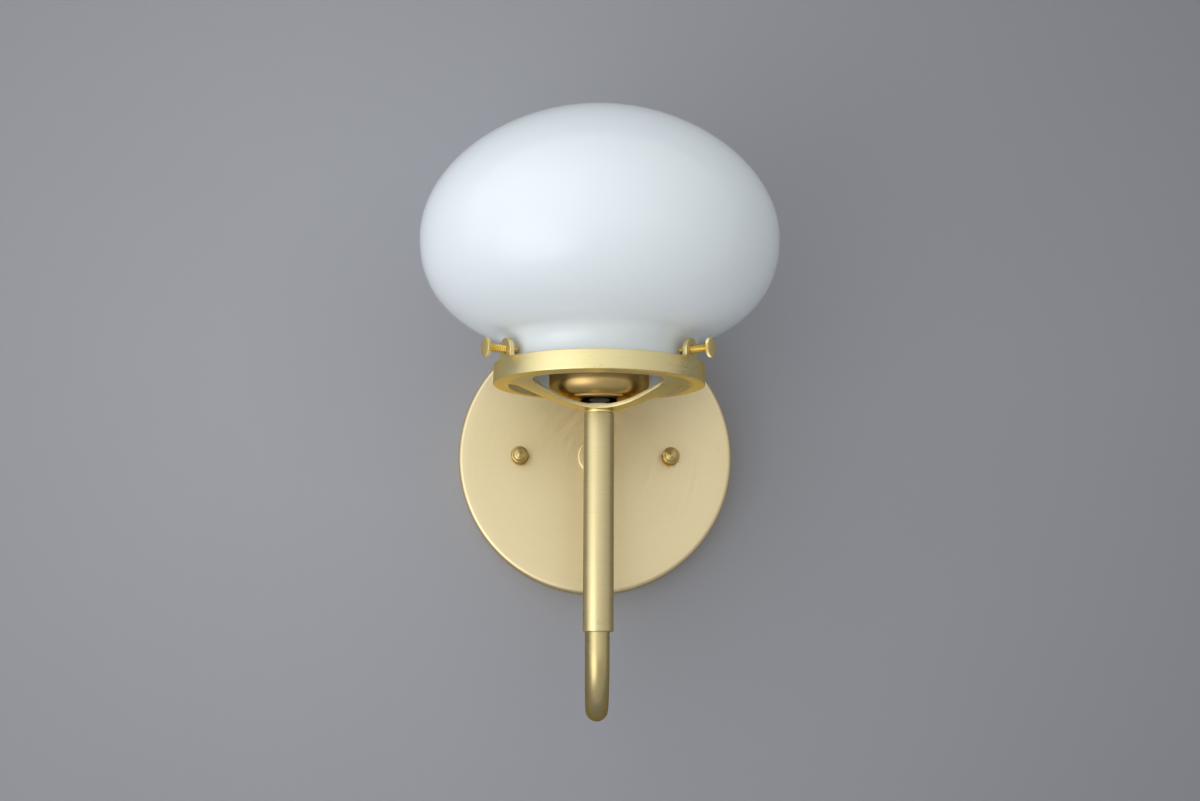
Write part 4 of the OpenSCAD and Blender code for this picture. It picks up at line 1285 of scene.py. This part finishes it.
def teeth(offset):
    """Outer edge of the toothed washer."""
    made = []
    for k, (c, s) in enumerate(spokes(144)):
        wave = 0.5 + 0.5 * math.cos(math.tau * 12 * k / 144)
        r = 7.6 - 0.9 * (1 - wave) ** 3 - offset
        made.append((r * c, r * s))
    return made


washer = pierced([teeth, circle(TUBE_HOLE_R, points=72)], [], lambda r: WASHER_T,
                 lambda r: 0.0, rings([5.4, 5.9, 6.3], 0.6), 0.1, 0.15)
piece("toothed_washer", "arm_lock_washer",
      (washer, from_wall(0, INSIDE_Y + WASHER_T), "zinc_steel"))

# %% [markdown]
# The two supply wires leave their wire nuts, turn into the tube and follow the arm to the
# socket. The bare ground wire hooks round its green screw and ends in a copper crimp.

# %% Wires and wire nuts
WIRE_R, WIRE_X, WIRE_BEND, NUT_Z = 1.1, 1.25, 3.5, 13.0
IN_NUT = 8
RUN_Z, SOCKET_BEND = 19.6, 2.5
wire_y = WIRE_BEND - ARM_END
wire_nuts = []
for name, side, way in (("hot", -1, 1), ("neutral", 1, -1)):
    material = "black_insulation" if side < 0 else "white_insulation"
    path = drive((side * WIRE_X, wire_y, way * (NUT_Z + IN_NUT)), (0, 0, -way),
                 NUT_Z + IN_NUT - WIRE_BEND, (WIRE_BEND, 90, (-way, 0, 0)), *to_the_hook,
                 RUN_Z - SOCKET_BEND - HOOK_Z, (SOCKET_BEND, 90, (0, side, 0)), 9.15,
                 (2.0, 90, (0, -side, 0)), step=6)
    piece(f"{name}_wire_insulated", f"{name}_wire",
          (tube(path, WIRE_R, material), Matrix(), material))
    tip = Matrix.Translation((side * WIRE_X, wire_y, way * NUT_Z))
    upside_down = Matrix.Rotation(math.pi, 4, "X")
    wire_nut = grown(KNURL, "orange_plastic", Radius=4.4, Depth=0.35, Ridges=12,
                     Thickness=17.0, Bevel=0.8, Taper=0.27)
    wire_nuts.append((wire_nut, tip if way > 0 else tip @ upside_down, "orange_plastic"))
piece("ribbed_wire_nuts", "wire_nuts", *wire_nuts)

# %% Ground wire, crimp and screw
GROUND_Y, GROUND_R, LOOP_R = -2.85, 0.8, 2.93
path = drive((GROUND_X, GROUND_Y, LOOP_R), (-1, 0, 0), (LOOP_R, 270, (0, -1, 0)), NUT_Z + 4.5,
             step=10)
piece("bare_ground_wire", "ground_wire", (tube(path, GROUND_R, "copper"), Matrix(), "copper"))
crimp = turned(eased([(2.2, 0, 0.25), (2.2, 2.6, 0.3), (1.8, 3.1, 0.3), (1.8, 4.2, 0.3),
                      (2.2, 4.7, 0.3), (2.2, 10, 0.25), (0.85, 10, 0.1), (0.85, 0, 0.1)]), 32)
at_crimp = Matrix.Translation((GROUND_X + LOOP_R, GROUND_Y, NUT_Z))
piece("copper_crimp", "ground_crimp", (crimp, at_crimp, "copper"))
shank = grown(THREAD, "green_screw", **machine_thread, Length=3.9, Chamfer=0.3, Rows=44)
flange = turned(eased([(0, 3.7), (4.0, 3.7, 0.2), (4.0, 4.3, 0.3), (0, 4.5)]), 48)
at_screw = from_wall(GROUND_X)
piece("green_hexagon_screw", "ground_screw", (shank, at_screw, "green_screw"),
      (flange, at_screw, "green_screw"),
      (hexagon("green_screw", 5.6, 1.7, 0.0), up(4.2, at_screw), "green_screw"))

# %% [markdown]
# The moulded socket body and its terminal screws keep the shape that the frame gives
# them, because it is right as it is. They only get their finish.

# %% Finish what stays
for node, material in (("socket_body", "phenolic"), ("terminal_screws", "aged_brass")):
    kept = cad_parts[node].data
    kept.materials.clear()
    kept.materials.append(finish[material])
    print(node, "keeps its shape and is finished in", material)

# %% [markdown]
# ## Camera
# The photograph was taken from a little below and slightly to the left, from about three
# quarters of a metre. The camera is built from its place, its two angles and its roll.

# %% Camera
CAMERA_AT = Vector((-15.00, -848.89, -95.80)) * MM
YAW, PITCH, ROLL = 0.0206, 0.1458, 0.004
LENS, SENSOR = 54.025, 36

ahead = Vector((math.sin(YAW) * math.cos(PITCH), math.cos(YAW) * math.cos(PITCH),
                math.sin(PITCH)))
level = Vector((math.cos(YAW), -math.sin(YAW), 0))
above = level.cross(ahead)
right = level * math.cos(ROLL) + above * math.sin(ROLL)
above = above * math.cos(ROLL) - level * math.sin(ROLL)
axes = Matrix((right, above, -ahead)).transposed().to_4x4()
lens = bpy.data.cameras.new("camera")
lens.lens, lens.sensor_width, lens.clip_start = LENS, SENSOR, 0.01
camera = bpy.data.objects.new("camera", lens)
camera.matrix_world = Matrix.Translation(CAMERA_AT) @ axes
bpy.context.scene.collection.objects.link(camera)
bpy.context.scene.camera = camera
print("camera at", [round(c, 3) for c in CAMERA_AT])

# %% [markdown]
# ## Wall, floor and light
# A grey wall stands behind the lamp, with a hole behind the canopy where the outlet box
# would be. Its paint carries painted light: it is lighter beside the lamp and darker further
# out. It can only be seen from the front: a camera behind it looks through it, so the
# back of the lamp can be seen as well. The floor is plain and pale. Two large soft lights
# stand at the left, a faint one above and a stronger one below, and the light of the room
# itself is a little stronger on that side.

# %% Stage materials
# Where the painted light on the wall is brightest, and the distances over which it fades.
PAINTED_LIGHT_SPOT = (-0.10, 0.0, 0.06)
NEAR, FAR = 0.08, 0.45


def flat_paint(name, colour, one_sided_and_painted_light=False):
    """A plain wall paint with a faint mottle. A one-sided wall also gets painted light: its colour
    is lightest beside the lamp and darker further out.
    """
    shader, here = new_finish(name)
    tint = mix(cloudy(here, 6.0, 3.0), *([c * f for c in colour] for f in (0.97, 1.03)))
    wire(0.9, shader["Roughness"])
    if one_sided_and_painted_light:
        # Painted light: the wall's colour is scaled from 1.12 beside the lamp down to 0.72 further
        # out, a painted fall-off of light.
        away = on_vector("DISTANCE", here, PAINTED_LIGHT_SPOT, out="Value")
        tint = on_vector("SCALE", tint, Scale=ranged(away, NEAR, FAR, 1.12, 0.72))
        tree = here.tree
        back = put(tree, "ShaderNodeNewGeometry", out="Backfacing")
        seen = put(tree, "ShaderNodeLightPath", out="Is Camera Ray")
        paint = Field(tree.nodes["Principled BSDF"].outputs["BSDF"])
        clear = put(tree, "ShaderNodeBsdfTransparent")
        choice = put(tree, "ShaderNodeMixShader", None, back * seen, paint, clear)
        wire(choice, tree.nodes["Material Output"].inputs["Surface"])
    wire(tint, shader["Base Color"])
    return finish[name]


# %% Wall and floor
def stage(name, corners, faces, material):
    """A flat piece of the stage."""
    mesh = bpy.data.meshes.new(name)
    mesh.from_pydata(corners, [], faces)
    mesh.materials.append(material)
    made = bpy.data.objects.new(name, mesh)
    bpy.context.scene.collection.objects.link(made)


WALL_GREY, FLOOR_WHITE = (0.305, 0.305, 0.334), (0.72, 0.72, 0.71)
WALL_Y, WALL_HOLE_R, WALL_R, WALL_SIDES = 0.0004, 0.0622, 2.5, 128
FLOOR_Z, FLOOR_HALF = -1.2, 4
wall_corners = [(r * c, WALL_Y, r * s) for r in (WALL_HOLE_R, WALL_R)
                for c, s in spokes(WALL_SIDES)]
nexts = [(k, (k + 1) % WALL_SIDES) for k in range(WALL_SIDES)]
stage("wall", wall_corners, [(WALL_SIDES + k, WALL_SIDES + n, n, k) for k, n in nexts],
      flat_paint("wall_paint", WALL_GREY, True))
floor_corners = [(x * FLOOR_HALF, y * FLOOR_HALF, FLOOR_Z)
                 for x, y in ((-1, -1), (1, -1), (1, 1), (-1, 1))]
stage("floor", floor_corners, [(0, 1, 2, 3)], flat_paint("floor_paint", FLOOR_WHITE))


# %% Lights
TARGET = Vector((0, -0.08, 0.02))


def softbox(name, place, size, watts):
    """An area light that is brightest in its middle and fades out to its edge."""
    lamp = bpy.data.lights.new(name, "AREA")
    lamp.shape = "RECTANGLE"
    lamp.size = lamp.size_y = size
    lamp.energy = watts
    lamp.use_nodes = True
    tree = lamp.node_tree
    spot = put(tree, "ShaderNodeNewGeometry", out="Parametric")
    off_centre = on_vector("DISTANCE", spot, (0.5, 0.5, 0), out="Value")
    fade = put(tree, "ShaderNodeMapRange", {"interpolation_type": "SMOOTHSTEP"}, off_centre,
               0.5, 0.1, 0.0, 3.0)
    wire(fade, tree.nodes["Emission"].inputs["Strength"])
    made = bpy.data.objects.new(name, lamp)
    facing = (Vector(place) - TARGET).to_track_quat("Z", "Y").to_matrix().to_4x4()
    made.matrix_world = Matrix.Translation(place) @ facing
    bpy.context.scene.collection.objects.link(made)
    print(f"{name}: {watts} W over {size} m")


softbox("key", (-1.25, -1.35, 0.75), 3.2, 2.5)
softbox("fill", (-0.95, -1.05, -0.75), 2.2, 9.0)

# %% World
KEY_SIDE = (-0.58, -0.79, 0.20)
SHADE_SKY, KEY_SKY = (0.98, 0.96, 0.92), (0.94, 0.985, 1.0)
world = bpy.data.worlds.new("studio")
bpy.context.scene.world = world
world.use_nodes = True
paper = world.node_tree
# In a world, these coordinates are the direction that a ray goes.
aim = put(paper, "ShaderNodeTexCoord", out="Generated")
share = on_vector("DOT_PRODUCT", aim, KEY_SIDE, out="Value") * 0.5 + 0.5
backdrop = paper.nodes["Background"]
wire(mix(share, SHADE_SKY, KEY_SKY), backdrop.inputs["Color"])
wire(share * share * 0.66 + 0.46, backdrop.inputs["Strength"])
bright = put(paper, "ShaderNodeBackground", None, (0.80, 0.81, 0.82, 1), 0.85)
camera_ray = put(paper, "ShaderNodeLightPath", out="Is Camera Ray")
seen = put(paper, "ShaderNodeMixShader", None, camera_ray, Field(backdrop.outputs[0]), bright)
wire(seen, paper.nodes["World Output"].inputs["Surface"])

bpy.context.scene.view_settings.view_transform = "Standard"
